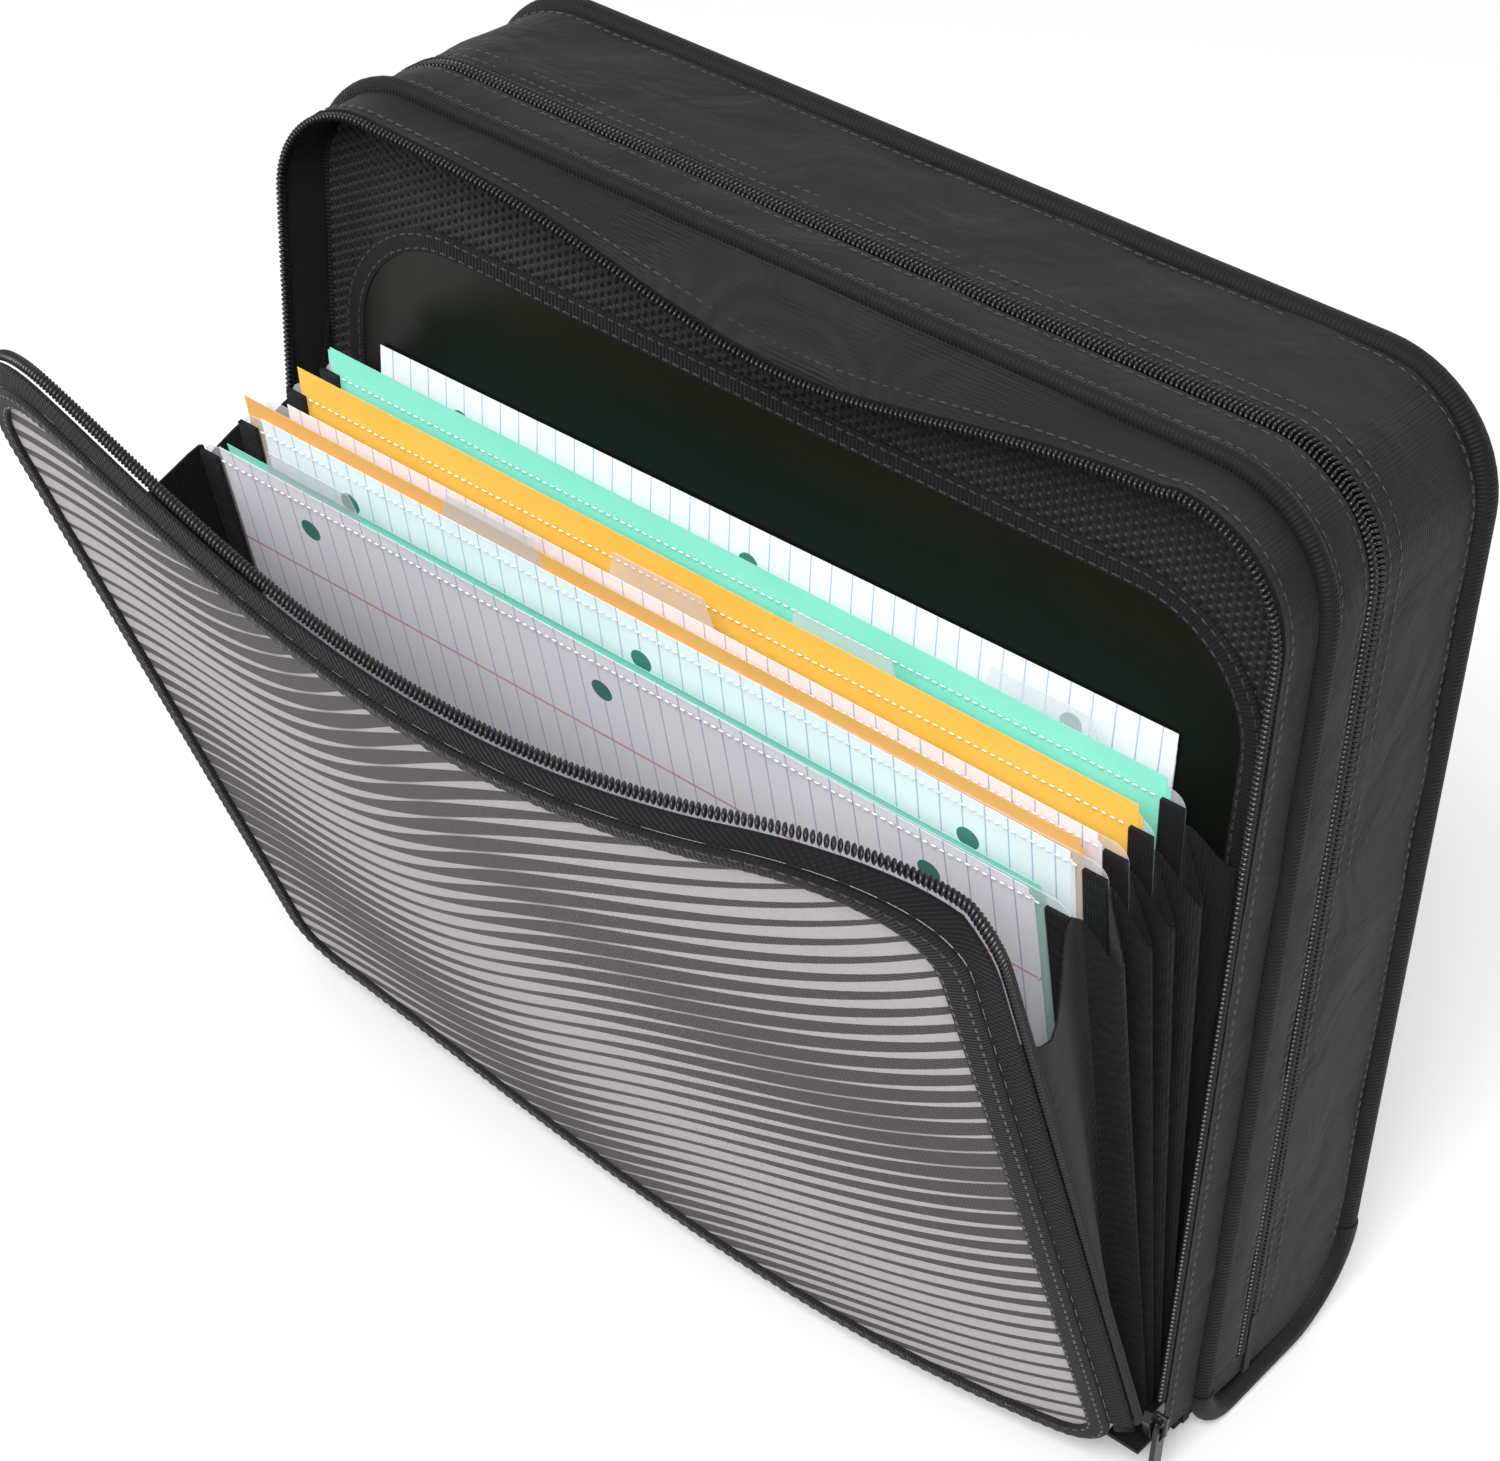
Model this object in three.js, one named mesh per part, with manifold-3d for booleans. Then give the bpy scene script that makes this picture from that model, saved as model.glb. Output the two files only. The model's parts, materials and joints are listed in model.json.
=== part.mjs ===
// Zippered ring binder with an expanding file pocket on its front cover, standing on its spine.
// Millimetres, +Z up. The origin is on the table under the middle of the spine, X runs along the
// spine, and +Y points to the rear cover. The file pocket is open, the ring compartment is closed.
import * as THREE from 'three';
import Module from 'manifold-3d';
import { mergeVertices } from 'three/addons/utils/BufferGeometryUtils.js';

// Driving sizes of the case
const BINDER_WIDTH = 343;
const BINDER_HEIGHT = 317;
const RING_DEPTH = 72;
const CORNER_RADIUS = 38;
const BOARD_THICKNESS = 3;
const REAR_BOARD_THICKNESS = 5;
const CLOTH_THICKNESS = 1.2;
const FRONT_BINDING_DIAMETER = 6;
const REAR_BINDING_DIAMETER = 8;
const SPINE_FRONT_RADIUS = 18;
const SPINE_REAR_RADIUS = 32;
const SEAM_GAP = 0.3;

// Driving sizes of the closed zipper round the ring compartment
const ZIP_SETBACK = 21.4;
const COIL_WIDTH = 3.2;
const COIL_HEIGHT = 2.4;
const SLIDER_LENGTH = 11;
const SLIDER_WIDTH = 8;
const SLIDER_HEIGHT = 2.6;
const PULL_LENGTH = 22;
const PULL_WIDTH = 4.4;
const PULL_THICKNESS = 1.6;
const PULL_CLEARANCE = 0.5;
const MAIN_SLIDER_HEIGHT = 48;

// Driving sizes of the ring mechanism
const RING_WIRE = 3.6;
const RING_RADIUS = 22;
const RING_PLACE = -3;
const RING_SEAT = 0.7;
const RING_SPACING = 108;
const PLATE_LENGTH = BINDER_WIDTH - 55;
const PLATE_WIDTH = 26;
const PLATE_RISE = 10;
const PLATE_THICKNESS = 1.1;
const BLADE_THICKNESS = 1.2;
const BLADE_CLEARANCE = 0.6;
const RIVET_DIAMETER = 8;
const RIVET_INSET = 20;
const LEVER_LENGTH = 13;
const LEVER_WIDTH = 18;
const LEVER_THICKNESS = 1.6;

// Driving sizes of the file pocket
const POCKET_DEPTH = 18;
const POCKET_INSET = 3.5;
const POCKET_FLOOR = 13;
const POCKET_SAG = 17;
const POCKET_SAG_WIDTH = 70;
const POCKET_SAG_CENTRE = 14;
const LINING_THICKNESS = 0.8;
const WINDOW_INSET = 9;
const WINDOW_TOP = 277;
const WINDOW_BOTTOM = 26;
const WINDOW_RADIUS = 42;
const WINDOW_BINDING_WIDTH = 7;
const WINDOW_BINDING_THICKNESS = 0.9;
const FILM_THICKNESS = 0.3;

// Driving sizes of the front panel, which is swung open and bows outwards
const PANEL_LEAN = 22.2;
const PANEL_LENGTH = 296;
const PANEL_HALF_WIDTH = 161;
const PANEL_THICKNESS = 2.4;
const PANEL_CORNER_RADIUS = 44;
const PANEL_FOOT_RADIUS = 17;
const BOW_AT_FOOT = 11;
const BOW_AT_TOP = 28;
const BOW_SKEW = 0.6;
const PANEL_HINGE_HEIGHT = 14;
const PANEL_SETOFF = 6.1;
const PANEL_BINDING_WIDTH = 6;
const PANEL_BINDING_THICKNESS = 1.2;
const TAPE_WIDTH = 5.5;
const TAPE_THICKNESS = 1;

// Driving sizes of the print on the front panel
const STRIPE_PITCH = 24;
const STRIPE_SLOPE = 0.62;
const STRIPE_WAVE = 11;
const STRIPE_WAVE_LENGTH = 250;
const INK_THICKNESS = 0.3;
const PRINT_MARGIN = 3;
const PRINT_GAP = 0.6;

// Driving sizes of the dividers, their contents and the pleated ends
const DIVIDER_COUNT = 5;
const DIVIDER_WIDTH = 299;
const DIVIDER_LENGTH = 219;
const DIVIDER_THICKNESS = 0.35;
const DIVIDER_PITCH = 2.7;
const DIVIDER_LEANS = [13.9, 10.6, 9.1, 7.0, 4.2];
const DIVIDER_CORNER = 5;
const TAB_WIDTH = 37;
const TAB_RISE = 10;
const TAB_FIRST = -105;
const TAB_STEP = 52.5;
const PAPER_WIDTH = 279.4;
const PAPER_HEIGHT = 216;
const PAPER_THICKNESS = 0.2;
const LEAF_GAP = 0.3;
const FOLDER_WIDTH = 292;
const FOLDER_HEIGHT = 219;
const PLEAT_DEPTH = 11;
const PLEAT_THICKNESS = 0.7;
const PLEAT_SCALLOP = 16;

// Places that follow from the sizes above
const HALF_WIDTH = BINDER_WIDTH / 2;
const FRONT_PLANE = -RING_DEPTH / 2;
const REAR_PLANE = RING_DEPTH / 2;
const FRONT_RADIUS = FRONT_BINDING_DIAMETER / 2;
const REAR_RADIUS = REAR_BINDING_DIAMETER / 2;
const ZIP_PLANE = FRONT_PLANE + ZIP_SETBACK;
const WALL_OUTSIDE = HALF_WIDTH - FRONT_RADIUS;
const WALL_TOP = BINDER_HEIGHT - FRONT_RADIUS;
const BOARD_FRONT = FRONT_PLANE - BOARD_THICKNESS / 2;
const BOARD_REAR = FRONT_PLANE + BOARD_THICKNESS / 2;
const LINING_FRONT = BOARD_FRONT - SEAM_GAP - LINING_THICKNESS;
const POCKET_FRONT = FRONT_PLANE - POCKET_DEPTH;
const PANEL_PLANE = POCKET_FRONT - COIL_WIDTH - PANEL_SETOFF;
const DIVIDER_FOOT = POCKET_FLOOR + CLOTH_THICKNESS + SEAM_GAP;
const WINDOW_FRONT = LINING_FRONT - SEAM_GAP - WINDOW_BINDING_THICKNESS;
const LEAF_STEP = PAPER_THICKNESS + LEAF_GAP;
const REAR_SHEET_PLANE = WINDOW_FRONT - LEAF_STEP;
const LAST_DIVIDER_PLANE = REAR_SHEET_PLANE - 2 * LEAF_STEP - LEAF_GAP;
const RADIANS = Math.PI / 180;

const wasm = await Module();
wasm.setup();

const CLOTH = { color: 0x1b1a1c, roughness: 0.85, metalness: 0 };
const BINDING = { color: 0x141315, roughness: 0.75, metalness: 0 };
const COIL = { color: 0x101012, roughness: 0.45, metalness: 0 };
const FILM = { color: 0x14130f, roughness: 0.25, metalness: 0 };
const STEEL = { color: 0xb9bbbe, roughness: 0.25, metalness: 1 };
const BLACK_METAL = { color: 0x18181a, roughness: 0.4, metalness: 0.6 };
const PRINT_DARK = { color: 0x4a4547, roughness: 0.7, metalness: 0 };
const PRINT_LIGHT = { color: 0xa9a3a6, roughness: 0.7, metalness: 0 };
const FROSTED = { color: 0xc9cdd4, roughness: 0.45, metalness: 0 };
const WHITE_PAPER = { color: 0xeceaf2, roughness: 0.9, metalness: 0 };
const MINT = { color: 0x9fe6cf, roughness: 0.8, metalness: 0 };
const ORANGE = { color: 0xf2b765, roughness: 0.8, metalness: 0 };
const YELLOW = { color: 0xf4c04a, roughness: 0.8, metalness: 0 };

const binder = new THREE.Group();

function addPiece(parent, name, geometry, finish) {
  const mesh = new THREE.Mesh(geometry, new THREE.MeshStandardMaterial(finish));
  mesh.name = name;
  parent.add(mesh);
  return mesh;
}

// A merged, indexed copy that keeps only the positions
function bare(geometry) {
  const copy = geometry.clone();
  copy.deleteAttribute('normal');
  copy.deleteAttribute('uv');
  return mergeVertices(copy, 1e-4);
}

function toSolid(geometry) {
  const merged = bare(geometry);
  return new wasm.Manifold(new wasm.Mesh({
    numProp: 3,
    vertProperties: new Float32Array(merged.getAttribute('position').array),
    triVerts: new Uint32Array(merged.getIndex().array),
  }));
}

function toGeometry(solid) {
  const mesh = solid.getMesh();
  const geometry = new THREE.BufferGeometry();
  geometry.setAttribute('position', new THREE.BufferAttribute(new Float32Array(mesh.vertProperties), 3));
  geometry.setIndex(new THREE.BufferAttribute(new Uint32Array(mesh.triVerts), 1));
  geometry.computeVertexNormals();
  return geometry;
}

function join(...geometries) {
  return toGeometry(geometries.map(toSolid).reduce((sum, next) => sum.add(next)));
}

function cut(geometry, ...tools) {
  return toGeometry(tools.map(toSolid).reduce((rest, tool) => rest.subtract(tool), toSolid(geometry)));
}

function box(x0, x1, y0, y1, z0, z1) {
  const geometry = new THREE.BoxGeometry(x1 - x0, y1 - y0, z1 - z0);
  return geometry.translate((x0 + x1) / 2, (y0 + y1) / 2, (z0 + z1) / 2);
}

// A shape drawn in X and Z, given a thickness from y0 to y1
function slabXZ(shape, y0, y1, curveSegments = 8) {
  const geometry = new THREE.ExtrudeGeometry(shape, { depth: y1 - y0, bevelEnabled: false, curveSegments });
  return geometry.rotateX(Math.PI / 2).translate(0, y1, 0);
}

// A shape drawn in Y and Z, given a length from x0 to x1
function slabYZ(shape, x0, x1, curveSegments = 8) {
  const geometry = new THREE.ExtrudeGeometry(shape, { depth: x1 - x0, bevelEnabled: false, curveSegments });
  return geometry.rotateX(Math.PI / 2).rotateZ(Math.PI / 2).translate(x0, 0, 0);
}

// A round tube along a smooth open curve
function tube(points, radius, steps, sides = 8) {
  const circle = new THREE.Shape();
  circle.absarc(0, 0, radius, 0, 2 * Math.PI);
  const path = points instanceof THREE.Curve ? points : new THREE.CatmullRomCurve3(points);
  return new THREE.ExtrudeGeometry(circle, {
    extrudePath: path, steps, curveSegments: sides / 2, bevelEnabled: false,
  });
}

// A closed solid whose cross section at each station is the same number of corners, in order
function loft(stations, closed = false) {
  const corners = stations[0].length;
  const positions = stations.flat(2);
  const faces = [];
  const last = closed ? stations.length : stations.length - 1;
  for (let i = 0; i < last; i += 1) {
    const here = i * corners;
    const next = ((i + 1) % stations.length) * corners;
    for (let j = 0; j < corners; j += 1) {
      const k = (j + 1) % corners;
      faces.push(here + j, here + k, next + k, here + j, next + k, next + j);
    }
  }
  if (!closed) {
    const end = (stations.length - 1) * corners;
    for (let j = 1; j < corners - 1; j += 1) {
      faces.push(0, j + 1, j);
      faces.push(end, end + j, end + j + 1);
    }
  }
  const geometry = new THREE.BufferGeometry();
  geometry.setAttribute('position', new THREE.Float32BufferAttribute(positions, 3));
  geometry.setIndex(faces);
  if (volume(geometry) < 0) flip(geometry);
  geometry.computeVertexNormals();
  return geometry;
}

function volume(geometry) {
  const p = geometry.getAttribute('position');
  const index = geometry.getIndex();
  const [a, b, c] = [new THREE.Vector3(), new THREE.Vector3(), new THREE.Vector3()];
  let sum = 0;
  for (let i = 0; i < index.count; i += 3) {
    a.fromBufferAttribute(p, index.getX(i));
    b.fromBufferAttribute(p, index.getX(i + 1));
    c.fromBufferAttribute(p, index.getX(i + 2));
    sum += a.dot(b.clone().cross(c)) / 6;
  }
  return sum;
}

function flip(geometry) {
  const index = geometry.getIndex();
  for (let i = 0; i < index.count; i += 3) {
    const second = index.getX(i + 1);
    index.setX(i + 1, index.getX(i + 2));
    index.setX(i + 2, second);
  }
}

// A thin curved plate: a grid of points in front, and the same grid behind
function plate(columns, rows, front, behind) {
  const positions = [];
  const faces = [];
  const across = columns + 1;
  const total = across * (rows + 1);
  for (const side of [front, behind]) {
    for (let j = 0; j <= rows; j += 1) {
      for (let i = 0; i <= columns; i += 1) positions.push(...side(i / columns, j / rows));
    }
  }
  for (let j = 0; j < rows; j += 1) {
    for (let i = 0; i < columns; i += 1) {
      const a = j * across + i;
      const [b, c, d] = [a + 1, a + across + 1, a + across];
      faces.push(a, b, c, a, c, d);
      faces.push(a + total, c + total, b + total, a + total, d + total, c + total);
    }
  }
  const rim = [];
  for (let i = 0; i < columns; i += 1) rim.push(i);
  for (let j = 0; j < rows; j += 1) rim.push(j * across + columns);
  for (let i = columns; i > 0; i -= 1) rim.push(rows * across + i);
  for (let j = rows; j > 0; j -= 1) rim.push(j * across);
  rim.forEach((a, n) => {
    const b = rim[(n + 1) % rim.length];
    faces.push(b, a, a + total, b, a + total, b + total);
  });
  const geometry = new THREE.BufferGeometry();
  geometry.setAttribute('position', new THREE.Float32BufferAttribute(positions, 3));
  geometry.setIndex(faces);
  if (volume(geometry) < 0) flip(geometry);
  geometry.computeVertexNormals();
  return geometry;
}

// The arch that both covers, the walls and the zippers follow: up the left side, over the top and
// down the right side, as points [x, z]. An inset keeps it that far inside the outermost line.
function arch(inset, bottom, cornerSteps = 6, topSteps = 1, sag = 0) {
  const half = HALF_WIDTH - inset;
  const top = BINDER_HEIGHT - inset;
  const radius = CORNER_RADIUS - inset;
  const points = [[-half, bottom]];
  for (let i = 0; i <= cornerSteps; i += 1) {
    const turn = (i / cornerSteps) * Math.PI / 2;
    points.push([-half + radius * (1 - Math.cos(turn)), top - radius * (1 - Math.sin(turn))]);
  }
  for (let i = 1; i < topSteps; i += 1) {
    const x = (half - radius) * (2 * i / topSteps - 1);
    const droop = sag * Math.exp(-(((x - POCKET_SAG_CENTRE) / POCKET_SAG_WIDTH) ** 2));
    points.push([x, top - droop]);
  }
  const left = points.slice(0, cornerSteps + 2);
  return points.concat(left.reverse().map(([x, z]) => [-x, z]));
}

// A cloth wall along the arch, from one depth to another
function archWall(inset, thickness, y0, y1, bottom) {
  const outer = arch(inset, bottom);
  const inner = arch(inset + thickness, bottom);
  return loft(outer.map(([x, z], i) => {
    const [u, v] = inner[i];
    return [[x, y0, z], [x, y1, z], [u, y1, v], [u, y0, v]];
  }));
}

// A round binding along the arch at one depth
function archBinding(radius, y, bottom) {
  const sides = 8;
  const middle = arch(radius, bottom);
  const inward = arch(radius + 1, bottom);
  return loft(middle.map(([x, z], i) => {
    const [u, v] = inward[i];
    const reach = Math.hypot(u - x, v - z);
    const [dx, dz] = [(x - u) / reach, (z - v) / reach];
    return Array.from({ length: sides }, (_, n) => {
      const turn = (n / sides) * 2 * Math.PI;
      const out = radius * Math.cos(turn);
      return [x + dx * out, y + radius * Math.sin(turn), z + dz * out];
    });
  }));
}

function archShape(inset, bottom) {
  return new THREE.Shape(arch(inset, bottom).map(([x, z]) => new THREE.Vector2(x, z)));
}

function rounded(x0, x1, z0, z1, radius) {
  const shape = new THREE.Shape();
  shape.absarc(x1 - radius, z0 + radius, radius, -Math.PI / 2, 0);
  shape.absarc(x1 - radius, z1 - radius, radius, 0, Math.PI / 2);
  shape.absarc(x0 + radius, z1 - radius, radius, Math.PI / 2, Math.PI);
  shape.absarc(x0 + radius, z0 + radius, radius, Math.PI, 3 * Math.PI / 2);
  return shape;
}

// Spine: a cloth-covered board, flat on the table and rounded up into the rear cover
const spineReach = HALF_WIDTH - 2 * REAR_RADIUS - SEAM_GAP;
const spineArcY = REAR_PLANE + BOARD_THICKNESS / 2 - SPINE_REAR_RADIUS;
const spineSection = new THREE.Shape();
spineSection.moveTo(FRONT_PLANE - FRONT_RADIUS + SEAM_GAP, 0);
spineSection.lineTo(spineArcY, 0);
spineSection.absarc(spineArcY, SPINE_REAR_RADIUS, SPINE_REAR_RADIUS, -Math.PI / 2, 0);
spineSection.absarc(spineArcY, SPINE_REAR_RADIUS, SPINE_REAR_RADIUS - BOARD_THICKNESS, 0, -Math.PI / 2, true);
spineSection.lineTo(FRONT_PLANE - FRONT_RADIUS + SEAM_GAP, BOARD_THICKNESS);
addPiece(binder, 'spine', slabYZ(spineSection, -spineReach, spineReach, 7), CLOTH);

// Bindings round the two ends of the spine, from the front cover's binding to the rear cover's
function spineBinding(side) {
  const frontTurn = SPINE_FRONT_RADIUS - FRONT_RADIUS;
  const rearTurn = SPINE_REAR_RADIUS - REAR_RADIUS;
  const path = [];
  for (let i = 0; i <= 6; i += 1) {
    const turn = (i / 6) * Math.PI / 2;
    const centre = [FRONT_PLANE + frontTurn * (1 - Math.cos(turn)), SPINE_FRONT_RADIUS - frontTurn * Math.sin(turn)];
    path.push([...centre, -Math.cos(turn), -Math.sin(turn), FRONT_RADIUS]);
  }
  for (let i = 0; i <= 8; i += 1) {
    const turn = (i / 8) * Math.PI / 2;
    const y = REAR_PLANE - rearTurn * (1 - Math.sin(turn));
    const z = SPINE_REAR_RADIUS - rearTurn * Math.cos(turn);
    path.push([y, z, Math.sin(turn), -Math.cos(turn), REAR_RADIUS]);
  }
  const sides = 8;
  return loft(path.map(([y, z, outY, outZ, radius]) => Array.from({ length: sides }, (_, n) => {
    const turn = (n / sides) * 2 * Math.PI;
    const out = radius * Math.cos(turn);
    const along = radius * Math.sin(turn);
    return [side * (HALF_WIDTH - radius + along), y + outY * out, z + outZ * out];
  })));
}
addPiece(binder, 'spine_binding_left', spineBinding(-1), BINDING);
addPiece(binder, 'spine_binding_right', spineBinding(1), BINDING);

// The lower ends of the side walls, sewn to the spine: they stop below the two covers' hinges
const wallFoot = 2 * REAR_RADIUS + SEAM_GAP;
const wallRoot = FRONT_PLANE + FRONT_RADIUS + SEAM_GAP;
const bindingFoot = SPINE_FRONT_RADIUS + SEAM_GAP;
function endGusset(side) {
  const rearReach = SPINE_REAR_RADIUS - 2 * REAR_RADIUS - SEAM_GAP;
  const rearArcY = REAR_PLANE - SPINE_REAR_RADIUS + REAR_RADIUS;
  const frontReach = SPINE_FRONT_RADIUS - 2 * FRONT_RADIUS - SEAM_GAP;
  const frontArcY = FRONT_PLANE + SPINE_FRONT_RADIUS - FRONT_RADIUS;
  const frontTurn = Math.acos((SPINE_FRONT_RADIUS - wallFoot) / frontReach);
  const patch = new THREE.Shape();
  patch.moveTo(frontArcY - frontReach * Math.sin(frontTurn), wallFoot);
  patch.absarc(rearArcY, SPINE_REAR_RADIUS, rearReach, -Math.PI / 2, -0.01);
  patch.lineTo(ZIP_PLANE + COIL_WIDTH, SPINE_REAR_RADIUS - SEAM_GAP);
  patch.lineTo(ZIP_PLANE + COIL_WIDTH, SPINE_FRONT_RADIUS - SEAM_GAP);
  patch.absarc(frontArcY, SPINE_FRONT_RADIUS, frontReach, 1.02 * Math.PI, 1.45 * Math.PI - frontTurn);
  const x0 = Math.min(side * WALL_OUTSIDE, side * (WALL_OUTSIDE - CLOTH_THICKNESS));
  const cloth = slabYZ(patch, x0, x0 + CLOTH_THICKNESS, 5);
  const coilX = side * (WALL_OUTSIDE - CLOTH_THICKNESS - SEAM_GAP);
  const coilTop = coilX + side * COIL_HEIGHT;
  const coil = box(Math.min(coilX, coilTop), Math.max(coilX, coilTop), ZIP_PLANE + SEAM_GAP / 2,
    ZIP_PLANE + COIL_WIDTH + SEAM_GAP, wallFoot, SPINE_REAR_RADIUS - SEAM_GAP);
  return join(cloth, coil);
}
addPiece(binder, 'end_gusset_left', endGusset(-1), CLOTH);
addPiece(binder, 'end_gusset_right', endGusset(1), CLOTH);

// Front cover of the ring compartment, which also carries the file pocket
const coverInset = 2 * FRONT_RADIUS + SEAM_GAP;
const coverFoot = BOARD_THICKNESS + SEAM_GAP;
addPiece(binder, 'front_cover', slabXZ(archShape(coverInset, coverFoot), BOARD_FRONT, BOARD_REAR), CLOTH);
addPiece(binder, 'front_cover_binding', archBinding(FRONT_RADIUS, FRONT_PLANE, bindingFoot), BINDING);

// The front half of the side wall stays with the front cover, above the spine's end binding
const frontWall = archWall(FRONT_RADIUS, CLOTH_THICKNESS, wallRoot, ZIP_PLANE - COIL_WIDTH - SEAM_GAP, bindingFoot);
addPiece(binder, 'front_wall', frontWall, CLOTH);

// Zipper rows of the ring compartment, one on each half of the wall
function coilArch(y0, y1, bottom) {
  return archWall(FRONT_RADIUS + CLOTH_THICKNESS + SEAM_GAP - COIL_HEIGHT, COIL_HEIGHT, y0, y1, bottom);
}
const rearHingeHeight = SPINE_REAR_RADIUS;
const frontRow = coilArch(ZIP_PLANE - COIL_WIDTH, ZIP_PLANE - SEAM_GAP / 2, bindingFoot);
const rearRow = coilArch(ZIP_PLANE + SEAM_GAP / 2, ZIP_PLANE + COIL_WIDTH, rearHingeHeight + SEAM_GAP);
addPiece(binder, 'zipper_row_front', frontRow, COIL);
addPiece(binder, 'zipper_row_rear', rearRow, COIL);

// Rear cover
const rearInset = 2 * REAR_RADIUS + SEAM_GAP;
const rearFoot = rearHingeHeight + SEAM_GAP;
const rearBoard = slabXZ(archShape(rearInset, rearFoot), REAR_PLANE - REAR_BOARD_THICKNESS / 2,
  REAR_PLANE + REAR_BOARD_THICKNESS / 2);
addPiece(binder, 'rear_cover', rearBoard, CLOTH);
addPiece(binder, 'rear_cover_binding', archBinding(REAR_RADIUS, REAR_PLANE, rearFoot), BINDING);
const rearWall = archWall(FRONT_RADIUS, CLOTH_THICKNESS, ZIP_PLANE + COIL_WIDTH + SEAM_GAP,
  REAR_PLANE - REAR_RADIUS - SEAM_GAP, rearFoot);
addPiece(binder, 'rear_wall', rearWall, CLOTH);

// A zipper slider, seen with its face towards +X: body, bridge and the pull that hangs from it
const bridgeWall = 1;
const bridgeRise = PULL_THICKNESS + 2 * PULL_CLEARANCE + bridgeWall;
const bridgeWidth = PULL_WIDTH / 3.6;
function sliderBody() {
  const nose = SLIDER_WIDTH / 4;
  const outline = new THREE.Shape();
  outline.moveTo(-nose, -SLIDER_LENGTH / 2);
  outline.lineTo(nose, -SLIDER_LENGTH / 2);
  outline.lineTo(SLIDER_WIDTH / 2, nose);
  outline.lineTo(SLIDER_WIDTH / 2 - 1, SLIDER_LENGTH / 2);
  outline.lineTo(-SLIDER_WIDTH / 2 + 1, SLIDER_LENGTH / 2);
  outline.lineTo(-SLIDER_WIDTH / 2, nose);
  const foot = SLIDER_LENGTH / 3;
  const bridge = box(-SEAM_GAP, bridgeRise + SLIDER_HEIGHT, -bridgeWidth / 2, bridgeWidth / 2, -foot, foot);
  const arch = box(-1, bridgeRise + SLIDER_HEIGHT - bridgeWall, -PULL_WIDTH, PULL_WIDTH, bridgeWall - foot,
    foot - bridgeWall);
  const base = slabYZ(outline, 0, SLIDER_HEIGHT);
  return join(base, cut(bridge, arch), box(0, SLIDER_HEIGHT, -bridgeWidth / 2, bridgeWidth / 2, -foot, foot));
}
function sliderPull() {
  const bar = PULL_THICKNESS / 2;
  const outline = rounded(-PULL_WIDTH / 2, PULL_WIDTH / 2, bar - PULL_LENGTH, bar, PULL_WIDTH / 2 - 0.4);
  const eye = new THREE.Path();
  const eyeHalf = bridgeWidth / 2 + SEAM_GAP;
  eye.moveTo(-eyeHalf, -bar);
  eye.lineTo(eyeHalf, -bar);
  eye.lineTo(eyeHalf, -bar - SLIDER_LENGTH / 2);
  eye.lineTo(-eyeHalf, -bar - SLIDER_LENGTH / 2);
  outline.holes.push(eye);
  return slabYZ(outline, -PULL_THICKNESS / 2, PULL_THICKNESS / 2, 4);
}
function addSlider(name, x, y, z, side) {
  const group = new THREE.Group();
  group.position.set(x, y, z);
  group.rotation.z = side > 0 ? 0 : Math.PI;
  addPiece(group, name, sliderBody(), BLACK_METAL);
  const pull = addPiece(group, `${name}_pull`, sliderPull(), BLACK_METAL);
  pull.position.set(SLIDER_HEIGHT + PULL_CLEARANCE + PULL_THICKNESS / 2, 0, 0);
  binder.add(group);
}
const coilFace = WALL_OUTSIDE - CLOTH_THICKNESS - SEAM_GAP + COIL_HEIGHT;
addSlider('main_slider', -coilFace - SEAM_GAP, ZIP_PLANE, MAIN_SLIDER_HEIGHT, -1);

// Ring mechanism: a sprung plate riveted to the spine, over two blades that carry the half rings
const mechanism = new THREE.Group();
mechanism.position.set(0, RING_PLACE, BOARD_THICKNESS + RING_SEAT);
binder.add(mechanism);
const bladeHeight = BLADE_THICKNESS / 2 + 1;
const ringCentre = bladeHeight + RING_RADIUS + 3;
const bladeEdge = PLATE_WIDTH / 2 - PLATE_THICKNESS - BLADE_CLEARANCE;
function ringPlate() {
  const outer = new THREE.Shape();
  const [half, wall] = [PLATE_WIDTH / 2, PLATE_THICKNESS];
  outer.moveTo(-half, 0);
  outer.quadraticCurveTo(-half, PLATE_RISE, 0, PLATE_RISE);
  outer.quadraticCurveTo(half, PLATE_RISE, half, 0);
  outer.lineTo(half - wall, 0);
  outer.quadraticCurveTo(half - wall, PLATE_RISE - wall, 0, PLATE_RISE - wall);
  outer.quadraticCurveTo(wall - half, PLATE_RISE - wall, wall - half, 0);
  const channel = slabYZ(outer, -PLATE_LENGTH / 2, PLATE_LENGTH / 2, 8);
  const slots = [];
  for (let i = -1; i <= 1; i += 1) {
    for (const side of [-1, 1]) {
      const y0 = side > 0 ? bladeEdge - RING_WIRE : -PLATE_WIDTH;
      const y1 = side > 0 ? PLATE_WIDTH : RING_WIRE - bladeEdge;
      const x = i * RING_SPACING;
      slots.push(box(x - RING_WIRE, x + RING_WIRE, y0, y1, -1, bladeHeight + 2.2 * RING_WIRE));
    }
  }
  for (const x of rivetPlaces) {
    const hole = new THREE.CylinderGeometry(RIVET_DIAMETER / 4, RIVET_DIAMETER / 4, 2 * PLATE_RISE, 16);
    slots.push(hole.rotateX(Math.PI / 2).translate(x, 0, PLATE_RISE));
  }
  return cut(channel, ...slots);
}
const rivetPlaces = [-1, 1].map((side) => side * (PLATE_LENGTH / 2 - RIVET_INSET));
addPiece(mechanism, 'ring_plate', ringPlate(), STEEL);

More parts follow.
